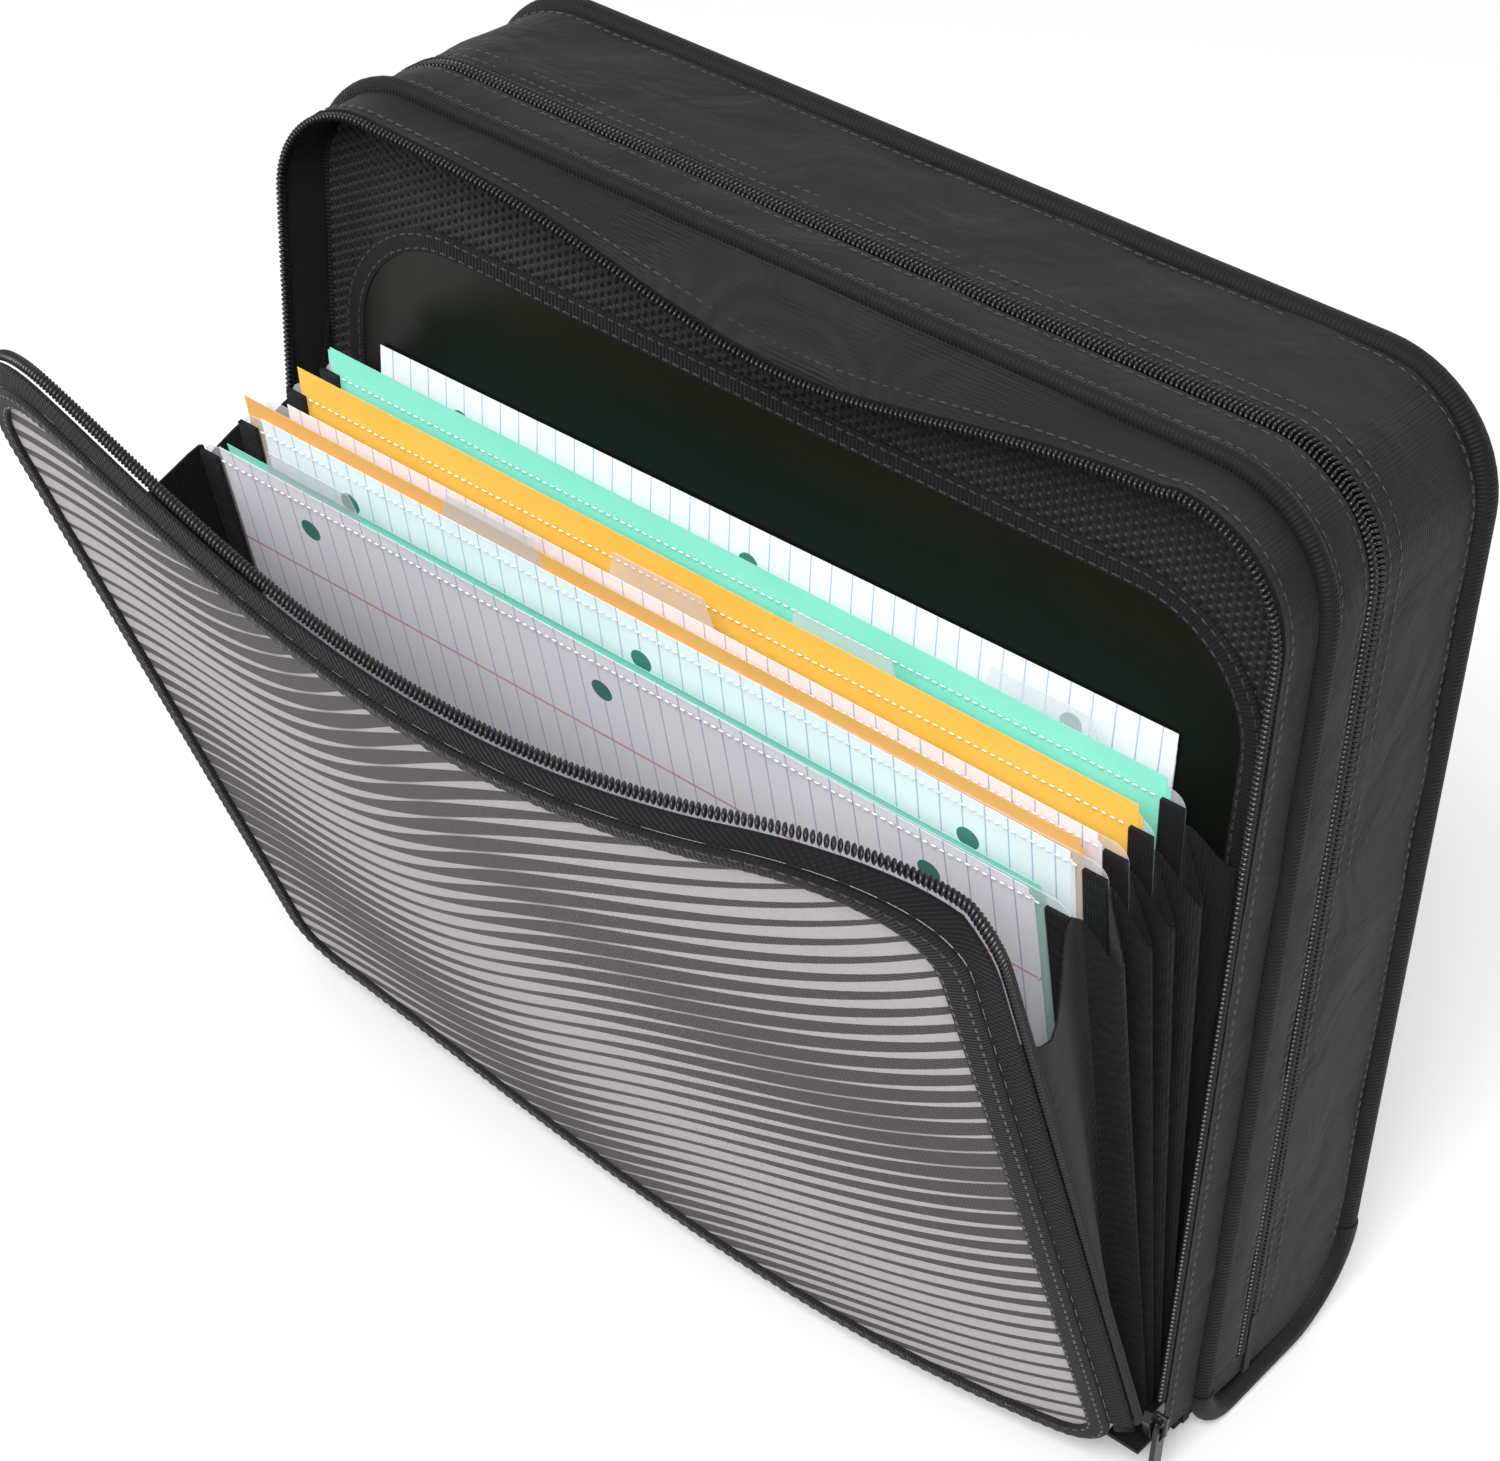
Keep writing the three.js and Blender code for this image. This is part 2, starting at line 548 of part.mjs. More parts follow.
function rivet(x) {
  const [head, shank] = [RIVET_DIAMETER / 2, RIVET_DIAMETER / 4 - SEAM_GAP];
  const under = PLATE_RISE + SEAM_GAP;
  const profile = [[0, SEAM_GAP - RING_SEAT], [shank, SEAM_GAP - RING_SEAT], [shank, under], [head, under],
    [head * 0.75, under + 1], [0, under + 1.4]];
  const body = new THREE.LatheGeometry(profile.map(([r, z]) => new THREE.Vector2(r, z)), 16);
  return body.rotateX(Math.PI / 2).translate(x, 0, 0);
}
addPiece(mechanism, 'ring_rivet_left', rivet(rivetPlaces[0]), STEEL);
addPiece(mechanism, 'ring_rivet_right', rivet(rivetPlaces[1]), STEEL);

// Half rings: the wire leaves the blade under the plate's edge, and meets its twin at the top
function halfRings(side) {
  const middle = 2 * SEAM_GAP;
  const length = PLATE_LENGTH / 2 - 2;
  const y = (value) => side * value;
  const pieces = [box(-length, length, Math.min(y(middle), y(bladeEdge)), Math.max(y(middle), y(bladeEdge)),
    bladeHeight - BLADE_THICKNESS / 2, bladeHeight + BLADE_THICKNESS / 2)];
  for (const x of rivetPlaces) {
    const room = RIVET_DIAMETER / 4 + 2 * SEAM_GAP;
    pieces[0] = cut(pieces[0], box(x - room, x + room, -room, room, -1, ringCentre));
  }
  for (let i = -1; i <= 1; i += 1) {
    const points = [[bladeEdge - RING_WIRE, bladeHeight], [bladeEdge + 2, bladeHeight + 0.6]];
    for (let step = 0; step <= 6; step += 1) {
      const turn = (-0.2 + (step / 6) * 0.7) * Math.PI;
      points.push([RING_RADIUS * Math.cos(turn), ringCentre + RING_RADIUS * Math.sin(turn)]);
    }
    const route = points.map(([v, z]) => new THREE.Vector3(i * RING_SPACING, y(Math.max(v, middle)), z));
    pieces.push(tube(route, RING_WIRE / 2, 14));
  }
  return join(...pieces);
}
addPiece(mechanism, 'half_rings_front', halfRings(-1), STEEL);
addPiece(mechanism, 'half_rings_rear', halfRings(1), STEEL);

// Trigger levers at the two ends of the ring mechanism
const leverPivot = PLATE_LENGTH / 2 + 3;
function lever(side) {
  const outline = new THREE.Shape();
  outline.moveTo(0, SEAM_GAP);
  outline.lineTo(LEVER_THICKNESS * 1.5, SEAM_GAP);
  outline.quadraticCurveTo(LEVER_LENGTH * 0.4, PLATE_RISE, LEVER_LENGTH, PLATE_RISE + 3);
  outline.lineTo(LEVER_LENGTH, PLATE_RISE + 3 + LEVER_THICKNESS);
  outline.quadraticCurveTo(LEVER_LENGTH * 0.2, PLATE_RISE + LEVER_THICKNESS, 0, LEVER_THICKNESS * 3);
  const body = slabXZ(outline, -LEVER_WIDTH / 2, LEVER_WIDTH / 2, 6);
  if (side < 0) body.rotateZ(Math.PI);
  return body.translate(side * (leverPivot - LEVER_THICKNESS), 0, 0);
}
addPiece(mechanism, 'ring_lever_left', lever(-1), BLACK_METAL);
addPiece(mechanism, 'ring_lever_right', lever(1), BLACK_METAL);

// File pocket on the front cover: lining, film window, floor and the band that carries a zipper row
const liningShape = archShape(coverInset, POCKET_FLOOR);
addPiece(binder, 'pocket_lining', slabXZ(liningShape, LINING_FRONT, BOARD_FRONT - SEAM_GAP), CLOTH);

const windowHalf = HALF_WIDTH - POCKET_INSET - WINDOW_INSET;
function windowOutline(inset) {
  return rounded(-windowHalf + inset, windowHalf - inset, WINDOW_BOTTOM + inset, WINDOW_TOP - inset,
    WINDOW_RADIUS - inset);
}
const ribbon = windowOutline(0);
ribbon.holes.push(new THREE.Path(windowOutline(WINDOW_BINDING_WIDTH).getPoints(6)));
addPiece(binder, 'window_binding', slabXZ(ribbon, WINDOW_FRONT, LINING_FRONT - SEAM_GAP, 6), BINDING);
const filmShape = windowOutline(WINDOW_BINDING_WIDTH + SEAM_GAP);
addPiece(binder, 'window_film', slabXZ(filmShape, LINING_FRONT - SEAM_GAP - FILM_THICKNESS,
  LINING_FRONT - SEAM_GAP, 6), FILM);

const bandRoot = FRONT_PLANE - FRONT_RADIUS - SEAM_GAP;
const pocketReach = HALF_WIDTH - POCKET_INSET;
function bandLoft(inset, thickness, yRoot, yFront, rootSag, frontSag, bottom) {
  const level = rootSag === frontSag;
  const steps = level ? 1 : 4;
  const side = (depth, from, to) => Array.from({ length: steps + 1 }, (_, i) => {
    const share = from + ((to - from) * i) / steps;
    return arch(depth, bottom, 6, level ? 14 : 56, rootSag + (frontSag - rootSag) * share)
      .map(([x, z]) => [x, yRoot + (yFront - yRoot) * share, z]);
  });
  const arches = [...side(inset, 0, 1), ...side(inset + thickness, 1, 0)];
  return loft(arches[0].map((_, i) => arches.map((line) => line[i])));
}
const pocketBand = bandLoft(POCKET_INSET, CLOTH_THICKNESS, bandRoot, POCKET_FRONT, 0, POCKET_SAG, POCKET_FLOOR);
addPiece(binder, 'pocket_band', pocketBand, CLOTH);
const rowFoot = POCKET_FLOOR + PANEL_FOOT_RADIUS;
const pocketRow = bandLoft(POCKET_INSET, COIL_HEIGHT, POCKET_FRONT - SEAM_GAP, POCKET_FRONT - COIL_WIDTH,
  POCKET_SAG, POCKET_SAG, rowFoot);
addPiece(binder, 'pocket_zipper_row', pocketRow, COIL);
const floorHalf = pocketReach - CLOTH_THICKNESS - SEAM_GAP;
addPiece(binder, 'pocket_floor', box(-floorHalf, floorHalf, PANEL_PLANE, LINING_FRONT - SEAM_GAP, POCKET_FLOOR,
  POCKET_FLOOR + CLOTH_THICKNESS), CLOTH);
addSlider('pocket_slider', pocketReach - SLIDER_HEIGHT, POCKET_FRONT - SEAM_GAP - SLIDER_WIDTH / 2,
  rowFoot - SLIDER_LENGTH / 2 - 1, 1);

// Front panel: local X across, local Z up the panel, local -Y out of its face
const panel = new THREE.Group();
panel.position.set(0, PANEL_PLANE, PANEL_HINGE_HEIGHT);
panel.rotation.x = PANEL_LEAN * RADIANS;
binder.add(panel);

function panelPoint(x, s, height) {
  const bow = THREE.MathUtils.lerp(BOW_AT_FOOT, BOW_AT_TOP, s / PANEL_LENGTH);
  const across = Math.max(-1, Math.min(1, x / PANEL_HALF_WIDTH));
  return [x, -(bow * (1 - across ** 2) * (1 + BOW_SKEW * across) + height), s];
}

// The panel's outline, from the right foot over the top to the left foot and back along the foot
function panelOutline(inset) {
  const half = PANEL_HALF_WIDTH - inset;
  const [foot, top] = [inset, PANEL_LENGTH - inset];
  const [footRadius, topRadius] = [PANEL_FOOT_RADIUS - inset, PANEL_CORNER_RADIUS - inset];
  const right = [];
  for (let i = 0; i <= 5; i += 1) {
    const turn = (i / 5) * Math.PI / 2;
    right.push([half - footRadius * (1 - Math.sin(turn)), foot + footRadius * (1 - Math.cos(turn))]);
  }
  for (let i = 1; i < 4; i += 1) {
    right.push([half, THREE.MathUtils.lerp(foot + footRadius, top - topRadius, i / 4)]);
  }
  for (let i = 0; i <= 6; i += 1) {
    const turn = (i / 6) * Math.PI / 2;
    right.push([half - topRadius * (1 - Math.cos(turn)), top - topRadius * (1 - Math.sin(turn))]);
  }
  const points = [...right];
  const steps = 14;
  for (let i = 1; i < steps; i += 1) points.push([(half - topRadius) * (1 - 2 * i / steps), top]);
  points.push(...right.map(([x, s]) => [-x, s]).reverse());
  for (let i = 1; i < steps; i += 1) points.push([(half - footRadius) * (2 * i / steps - 1), foot]);
  return points;
}
const rimStart = 5;
const rimEnd = panelOutline(0).length - 13 - rimStart;

// A strip along the outline, with the corners of its cross section as [inset, height]
function panelStrip(corners, closed) {
  const lines = corners.map(([inset, height]) => panelOutline(inset).map(([x, s]) => panelPoint(x, s, height)));
  const stations = lines[0].map((_, i) => lines.map((line) => line[i]));
  return loft(closed ? stations : stations.slice(rimStart, rimEnd), closed);
}

function panelBoard(inset, back, face) {
  const half = PANEL_HALF_WIDTH - inset;
  const edge = panelOutline(inset).slice(0, 16);
  const side = (u, v, height) => {
    const [x, s] = edge[Math.round(v * 15)];
    return panelPoint((2 * u - 1) * Math.min(x, half), s, height);
  };
  return plate(16, 15, (u, v) => side(u, v, face), (u, v) => side(u, v, back));
}
addPiece(panel, 'front_panel', panelBoard(0, 0, PANEL_THICKNESS), PRINT_DARK);

const seamFace = PANEL_THICKNESS + SEAM_GAP;
const bindingFace = seamFace + PANEL_BINDING_THICKNESS;
addPiece(panel, 'front_panel_binding', panelStrip([[0, seamFace], [0, bindingFace],
  [PANEL_BINDING_WIDTH, bindingFace], [PANEL_BINDING_WIDTH, seamFace]], true), BINDING);

const tapeOut = -SEAM_GAP - TAPE_WIDTH;
const tapeBack = -TAPE_THICKNESS - SEAM_GAP;
addPiece(panel, 'front_zipper_tape', panelStrip([[-SEAM_GAP, PANEL_THICKNESS / 2],
  [-SEAM_GAP, PANEL_THICKNESS / 2 + TAPE_THICKNESS], [tapeOut, SEAM_GAP], [tapeOut, SEAM_GAP - TAPE_THICKNESS]],
false), CLOTH);
const rowOut = tapeOut - COIL_HEIGHT + 1;
addPiece(panel, 'panel_zipper_row', panelStrip([[rowOut + COIL_HEIGHT, tapeBack], [rowOut, tapeBack],
  [rowOut, tapeBack - COIL_WIDTH], [rowOut + COIL_HEIGHT, tapeBack - COIL_WIDTH]], false), COIL);

// The light stripes of the print: one thin layer with slanting wavy gaps that show the dark cloth
function stripeLayer() {
  const inset = PANEL_BINDING_WIDTH + PRINT_MARGIN;
  const [half, foot, top] = [PANEL_HALF_WIDTH - inset, inset + PRINT_MARGIN, PANEL_LENGTH - inset - PRINT_MARGIN];
  const printBack = PANEL_THICKNESS + PRINT_GAP;
  const layer = panelBoard(inset, printBack, printBack + INK_THICKNESS);
  const reach = STRIPE_SLOPE * PANEL_HALF_WIDTH + STRIPE_WAVE;
  const steps = 13;
  const gaps = [];
  for (let offset = -reach; offset < PANEL_LENGTH + reach; offset += STRIPE_PITCH) {
    const stations = [];
    for (let i = 1; i < steps; i += 1) {
      const x = half * (2 * i / steps - 1);
      const s = offset + STRIPE_SLOPE * x + STRIPE_WAVE * Math.sin((2 * Math.PI * x) / STRIPE_WAVE_LENGTH);
      const width = STRIPE_PITCH * (0.25 + 0.12 * Math.sin((Math.PI * (x + 0.5 * s)) / PANEL_HALF_WIDTH));
      const corner = Math.max(0, Math.abs(x) - (half - PANEL_FOOT_RADIUS));
      if (s - width > foot + corner && s + width < top - 1.5 * corner) {
        stations.push([panelPoint(x, s - width, 0), panelPoint(x, s + width, 0),
          panelPoint(x, s + width, 2 * bindingFace), panelPoint(x, s - width, 2 * bindingFace)]);
      }
    }
    if (stations.length > 2) gaps.push(loft(stations));
  }
  return cut(layer, ...gaps);
}
addPiece(panel, 'print_stripes', stripeLayer(), PRINT_LIGHT);

// Dividers: frosted sheets with staggered tabs, each leaning forward from its seam in the floor
const dividerPlane = (k) => LAST_DIVIDER_PLANE - (DIVIDER_COUNT - 1 - k) * DIVIDER_PITCH;
function dividerShape(k) {
  const half = DIVIDER_WIDTH / 2;
  const tab = TAB_FIRST + k * TAB_STEP;
  const shape = new THREE.Shape();
  shape.moveTo(-half, 0);
  shape.lineTo(half, 0);
  shape.absarc(half - DIVIDER_CORNER, DIVIDER_LENGTH - DIVIDER_CORNER, DIVIDER_CORNER, 0, Math.PI / 2);
  shape.lineTo(tab + TAB_WIDTH / 2, DIVIDER_LENGTH);
  shape.lineTo(tab + TAB_WIDTH / 2 - 3, DIVIDER_LENGTH + TAB_RISE);
  shape.lineTo(tab - TAB_WIDTH / 2 + 3, DIVIDER_LENGTH + TAB_RISE);
  shape.lineTo(tab - TAB_WIDTH / 2, DIVIDER_LENGTH);
  shape.absarc(DIVIDER_CORNER - half, DIVIDER_LENGTH - DIVIDER_CORNER, DIVIDER_CORNER, Math.PI / 2, Math.PI);
  return shape;
}
const leaves = Array.from({ length: DIVIDER_COUNT }, (_, k) => {
  const leaf = new THREE.Group();
  leaf.position.set(0, dividerPlane(k), DIVIDER_FOOT);
  leaf.rotation.x = DIVIDER_LEANS[k] * RADIANS;
  binder.add(leaf);
  addPiece(leaf, `divider_${k + 1}`, slabXZ(dividerShape(k), -DIVIDER_THICKNESS, 0, 3), FROSTED);
  return leaf;
});

// Sheets and folders stand behind the divider that they rest on
function addLeaf(parent, name, finish, width, height, layer, shift) {
  const y = LEAF_GAP + layer * LEAF_STEP;
  addPiece(parent, name, box(shift - width / 2, shift + width / 2, y, y + PAPER_THICKNESS, LEAF_GAP,
    LEAF_GAP + height), finish);
}
addLeaf(leaves[0], 'ruled_sheets_1', WHITE_PAPER, PAPER_WIDTH, PAPER_HEIGHT, 0, -1);
addLeaf(leaves[0], 'mint_sheet', MINT, PAPER_WIDTH, PAPER_HEIGHT, 1, 2);
addLeaf(leaves[1], 'ruled_sheets_2', WHITE_PAPER, PAPER_WIDTH, PAPER_HEIGHT, 0, 0);
addLeaf(leaves[1], 'orange_folder', ORANGE, FOLDER_WIDTH, FOLDER_HEIGHT, 1, 0);
addLeaf(leaves[2], 'ruled_sheets_3', WHITE_PAPER, PAPER_WIDTH, PAPER_HEIGHT, 0, 2);
addLeaf(leaves[3], 'yellow_folder', YELLOW, FOLDER_WIDTH, FOLDER_HEIGHT, 0, 1);
addLeaf(leaves[3], 'ruled_sheets_4', WHITE_PAPER, PAPER_WIDTH, PAPER_HEIGHT, 1, -2);
addLeaf(leaves[4], 'mint_folder_1', MINT, FOLDER_WIDTH, FOLDER_HEIGHT, 0, 0);
addLeaf(leaves[4], 'mint_folder_2', MINT, FOLDER_WIDTH, FOLDER_HEIGHT, 1, -2);
addPiece(binder, 'ruled_sheets_5', box(-PAPER_WIDTH / 2 - 5, PAPER_WIDTH / 2 - 5, REAR_SHEET_PLANE,
  REAR_SHEET_PLANE + PAPER_THICKNESS, DIVIDER_FOOT, DIVIDER_FOOT + PAPER_HEIGHT), WHITE_PAPER);

// Pleated ends: a cloth zigzag from the front panel past every divider's edge to the pocket band
function pleats(side) {
  const innerX = DIVIDER_WIDTH / 2 + 2 * SEAM_GAP;
  const outerX = innerX + PLEAT_DEPTH;
  const low = DIVIDER_FOOT + 2 * SEAM_GAP;
  const onPanel = (share) => {
    const s = THREE.MathUtils.lerp(low - PANEL_HINGE_HEIGHT + 2, DIVIDER_LENGTH, share);
    const point = new THREE.Vector3(...panelPoint(side * outerX, s, -PANEL_THICKNESS / 2));
    point.applyEuler(panel.rotation).add(panel.position);
    return [point.y, point.z];
  };
  const onLeaf = (plane, degrees, top) => (share) => {
    const z = THREE.MathUtils.lerp(low, top, share);
    return [plane - (z - low) * Math.tan(degrees * RADIANS), z];
  };
  const between = (first, second) => (share) => {
    const [ya, za] = first(share);
    const [yb, zb] = second(share);
    return [(ya + yb) / 2, (za + zb) / 2 - share * PLEAT_SCALLOP];
  };
  const lines = [[outerX - 3, onPanel]];
  for (let k = 0; k < DIVIDER_COUNT; k += 1) {
    const here = onLeaf(dividerPlane(k), DIVIDER_LEANS[k], DIVIDER_LENGTH);
    lines.push([outerX, between(lines[lines.length - 1][1], here)], [innerX, here]);
  }
  const last = onLeaf(bandRoot - 1, 0, DIVIDER_LENGTH + TAB_RISE);
  lines.push([outerX, between(lines[lines.length - 1][1], last)]);
  lines.push([pocketReach - CLOTH_THICKNESS - 3 * SEAM_GAP - PLEAT_THICKNESS, last]);
  const columns = lines.length - 1;
  const face = (thick) => (u, v) => {
    const [x, line] = lines[Math.round(u * columns)];
    const [y, z] = line(v);
    return [side * (x + thick), y, z];
  };
  return plate(columns, 4, face(0), face(PLEAT_THICKNESS));
}
addPiece(binder, 'pleats_left', pleats(-1), CLOTH);
addPiece(binder, 'pleats_right', pleats(1), CLOTH);

export default binder;
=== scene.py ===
# Looks of the zippered ring binder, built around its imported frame.
# Lengths are millimetres until a mesh is made from them.
import json
import math

import bmesh
import bpy
import numpy as np
from mathutils import Matrix, Vector, noise


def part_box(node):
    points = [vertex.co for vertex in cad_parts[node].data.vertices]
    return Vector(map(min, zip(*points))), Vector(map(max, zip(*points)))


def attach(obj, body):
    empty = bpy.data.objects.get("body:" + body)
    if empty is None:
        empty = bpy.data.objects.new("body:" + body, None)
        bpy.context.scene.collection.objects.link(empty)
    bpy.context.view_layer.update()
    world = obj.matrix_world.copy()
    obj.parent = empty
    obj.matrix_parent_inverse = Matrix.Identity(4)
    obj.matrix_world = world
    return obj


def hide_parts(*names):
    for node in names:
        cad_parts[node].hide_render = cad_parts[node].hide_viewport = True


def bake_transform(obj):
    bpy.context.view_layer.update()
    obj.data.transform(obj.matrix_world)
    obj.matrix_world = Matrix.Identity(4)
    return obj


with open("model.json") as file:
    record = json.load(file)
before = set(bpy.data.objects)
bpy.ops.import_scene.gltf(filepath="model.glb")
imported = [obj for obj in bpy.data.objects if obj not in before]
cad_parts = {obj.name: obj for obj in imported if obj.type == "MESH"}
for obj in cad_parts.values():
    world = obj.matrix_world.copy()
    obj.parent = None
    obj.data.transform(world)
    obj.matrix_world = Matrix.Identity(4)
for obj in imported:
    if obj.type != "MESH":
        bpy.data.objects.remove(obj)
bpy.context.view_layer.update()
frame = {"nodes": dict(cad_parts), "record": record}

MM = 0.001

# Sizes of the case, as in the frame
HALF_WIDTH = 171.5
BINDER_HEIGHT = 317
CORNER_RADIUS = 38
FRONT_PLANE = -36
REAR_PLANE = 36
FRONT_RADIUS = 3
REAR_RADIUS = 4
SPINE_FRONT_RADIUS = 18
SPINE_REAR_RADIUS = 32
SEAM_GAP = 0.3
CLOTH = 1.2
BOARD = 3
REAR_BOARD = 5
ZIP_PLANE = -14.6
COIL_WIDTH = 3.2
COIL_INSET = 3.3
POCKET_INSET = 3.5
POCKET_FRONT = -54
POCKET_FLOOR = 13
POCKET_SAG = 17
SAG_WIDTH = 70
SAG_CENTRE = 14
ROW_FOOT = 30

# Sizes of the window in the pocket's back
WINDOW_HALF = 159
WINDOW_TOP = 277
WINDOW_BOTTOM = 26
WINDOW_RADIUS = 42
RIBBON_WIDTH = 7
LINING_FRONT = -38.6

# Sizes of the front panel
PANEL_PLANE = -63.3
PANEL_FOOT = 14
PANEL_LEAN = math.radians(22.2)
PANEL_LENGTH = 296
PANEL_HALF = 161
PANEL_THICKNESS = 2.4
PANEL_CORNER = 44
PANEL_FOOT_RADIUS = 17
BOW_AT_FOOT = 11
BOW_AT_TOP = 28
BOW_SKEW = 0.6

# Sizes of the dividers and what stands behind them
LEAF_FOOT = 14.5
LEAF_PLANES = [-53.6, -50.9, -48.2, -45.5, -42.8]
LEAF_LEANS = [math.radians(a) for a in (13.9, 10.6, 9.1, 7.0, 4.2)]
LEAF_WIDTH = 299
LEAF_LENGTH = 219
LEAF_THICKNESS = 0.4
PAPER_WIDTH = 279.4
PAPER_HEIGHT = 216
SHEET_THICKNESS = 0.12
SHEET_STEP = 0.2
FOOT_LIFT = 0.9

# Rules and punched holes of the notebook paper
RULE_PITCH = 7.1
MARGIN_DEPTH = 32
HOLE_SPACING = 108
HOLE_DEPTH = 12.7
HOLE_SIZE = 7.1

# Sewing, teeth and the cloth wrapped round the spine's ends
WRAP = 0.5
COIL_PITCH = 1.55
STITCH_LENGTH = 2.6
STITCH_PITCH = 3.6
STITCH_THREAD = 0.55


def linear(hex_colour):
    """The linear colour of an sRGB hex value."""
    parts = [int(hex_colour[i:i + 2], 16) / 255 for i in (1, 3, 5)]
    return tuple(p / 12.92 if p <= 0.04045 else ((p + 0.055) / 1.055) ** 2.4 for p in parts) + (1,)


def add(tree, kind, links=None, **settings):
    """Adds a node with its settings; a socket is given a value or what feeds it."""
    made = tree.nodes.new(kind)
    for key, value in settings.items():
        setattr(made, key, value)
    for socket, value in (links or {}).items():
        if isinstance(value, bpy.types.NodeSocket):
            tree.links.new(value, made.inputs[socket])
        else:
            made.inputs[socket].default_value = value
    return made


def finish_named(name, colour, roughness, **sockets):
    """A material whose even values sit on its shader's own sockets."""
    material = bpy.data.materials.new(name)
    material.use_nodes = True
    shader = material.node_tree.nodes["Principled BSDF"]
    shader.inputs["Base Color"].default_value = linear(colour)
    shader.inputs["Roughness"].default_value = roughness
    for socket, value in sockets.items():
        shader.inputs[socket.replace("_", " ")].default_value = value
    return material, material.node_tree, shader


def waves(tree, vector, spacing, turns=((0, 0, 0),)):
    """The sum of fine ridges across X, Y and Z, a thread spacing apart, once for each turn."""
    total = None
    for turn in turns:
        turned = add(tree, "ShaderNodeMapping", {"Vector": vector, "Rotation": turn}).outputs[0]
        for direction in ("X", "Y", "Z") if len(turns) == 1 else ("X",):
            ridge = add(tree, "ShaderNodeTexWave", {"Vector": turned, "Scale": 0.31416 / (spacing * MM)},
                        bands_direction=direction).outputs["Fac"]
            if total is None:
                total = ridge
            else:
                total = add(tree, "ShaderNodeMath", {0: total, 1: ridge}, operation="ADD").outputs[0]
    return total


def vary(tree, shader, vector, low, high, size):
    """Soft patches between two colours, so that no face is one flat tone."""
    patches = add(tree, "ShaderNodeTexNoise", {"Vector": vector, "Scale": 1 / (size * MM), "Detail": 4})
    mixed = add(tree, "ShaderNodeMix", {0: patches.outputs["Fac"], 6: linear(low), 7: linear(high)},
                data_type="RGBA")
    tree.links.new(mixed.outputs[2], shader.inputs["Base Color"])
    return mixed


def bump(tree, shader, layers):
    """Stacks bumps, each a height with its depth in millimetres, into the shader's normal."""
    normal = None
    for height, depth in layers:
        links = {"Height": height, "Distance": depth * MM, "Strength": 1.0}
        if normal is not None:
            links["Normal"] = normal
        normal = add(tree, "ShaderNodeBump", links).outputs[0]
    tree.links.new(normal, shader.inputs["Normal"])


def folds(tree, vector, size):
    return add(tree, "ShaderNodeTexNoise", {"Vector": vector, "Scale": 1 / (size * MM), "Detail": 3,
                                            "Distortion": 0.6}).outputs["Fac"]


def object_point(tree):
    return add(tree, "ShaderNodeTexCoord").outputs["Object"]


def surface_point(tree):
    return add(tree, "ShaderNodeUVMap", uv_map="surface").outputs[0]


def woven_polyester(name, low, high, spacing, crease, sheen=0.05, roughness=0.62):
    """Plain-woven polyester, calendered: a fine grid of threads with a faint sheen and soft creases.
    The threads are drawn about twice their real width, so that they show from a step away."""
    material, tree, shader = finish_named(name, low, roughness, Sheen_Weight=sheen, Sheen_Roughness=0.45,
                                          Specular_IOR_Level=0.22)
    point = object_point(tree)
    vary(tree, shader, point, low, high, 26)
    bump(tree, shader, [(folds(tree, point, 30), crease), (waves(tree, point, spacing), 0.07)])
    return material


def grosgrain(name, low, high):
    """Grosgrain tape, woven with a heavy weft: close ribs across its length, seen as fine lines.
    The ribs are drawn 1.3 mm apart, coarser than real ones, so that they show."""
    material, tree, shader = finish_named(name, low, 0.62, Sheen_Weight=0.04, Specular_IOR_Level=0.18)
    point = surface_point(tree)
    vary(tree, shader, point, low, high, 12)
    ribs = add(tree, "ShaderNodeTexWave", {"Vector": point, "Scale": 0.31416 / (1.3 * MM)})
    bump(tree, shader, [(ribs.outputs["Fac"], 0.22)])
    return material


def knitted_tape():
    """Warp-knitted zipper tape: slanting rows of loops, duller than the woven cloth beside it."""
    material, tree, shader = finish_named("knitted_zipper_tape", "#0e0d0f", 0.8, Sheen_Weight=0.04,
                                          Specular_IOR_Level=0.15)
    point = surface_point(tree)
    vary(tree, shader, point, "#0c0b0d", "#161518", 9)
    bump(tree, shader, [(waves(tree, point, 1.5, ((0, 0, 0.7), (0, 0, -0.7))), 0.2)])
    return material


def moulded_nylon():
    """Nylon coil, drawn and heat set: dark, with a small hard highlight on every turn."""
    material, tree, shader = finish_named("heat_set_nylon_coil", "#100f11", 0.34, IOR=1.5)
    vary(tree, shader, object_point(tree), "#0d0c0e", "#171619", 14)
    return material


def embossed_mesh():
    """Lining with a honeycomb embossed by rollers: small cells that catch the light in rows."""
    material, tree, shader = finish_named("embossed_honeycomb_lining", "#141315", 0.55, Sheen_Weight=0.04,
                                          Specular_IOR_Level=0.3)
    point = object_point(tree)
    vary(tree, shader, point, "#100f11", "#1a191b", 30)
    third = math.pi / 3
    cells = waves(tree, point, 2.6, ((0, 0, 0), (0, third, 0), (0, 2 * third, 0)))
    bump(tree, shader, [(cells, 0.5), (folds(tree, point, 45), 1.2)])
    return material


def film_with_painted_sheen():
    """Calendered vinyl film over black: glossy, with faint brown-green patches painted into its colour as
    sheen, and slow waves.
    """
    material, tree, shader = finish_named("calendered_vinyl_film", "#0c0b0a", 0.33, IOR=1.45,
                                          Specular_IOR_Level=0.3)
    point = object_point(tree)
    # The brown-green patches are painted sheen laid into the dark film's base colour.
    vary(tree, shader, point, "#070708", "#15150f", 90)
    bump(tree, shader, [(folds(tree, point, 110), 2.4)])
    return material


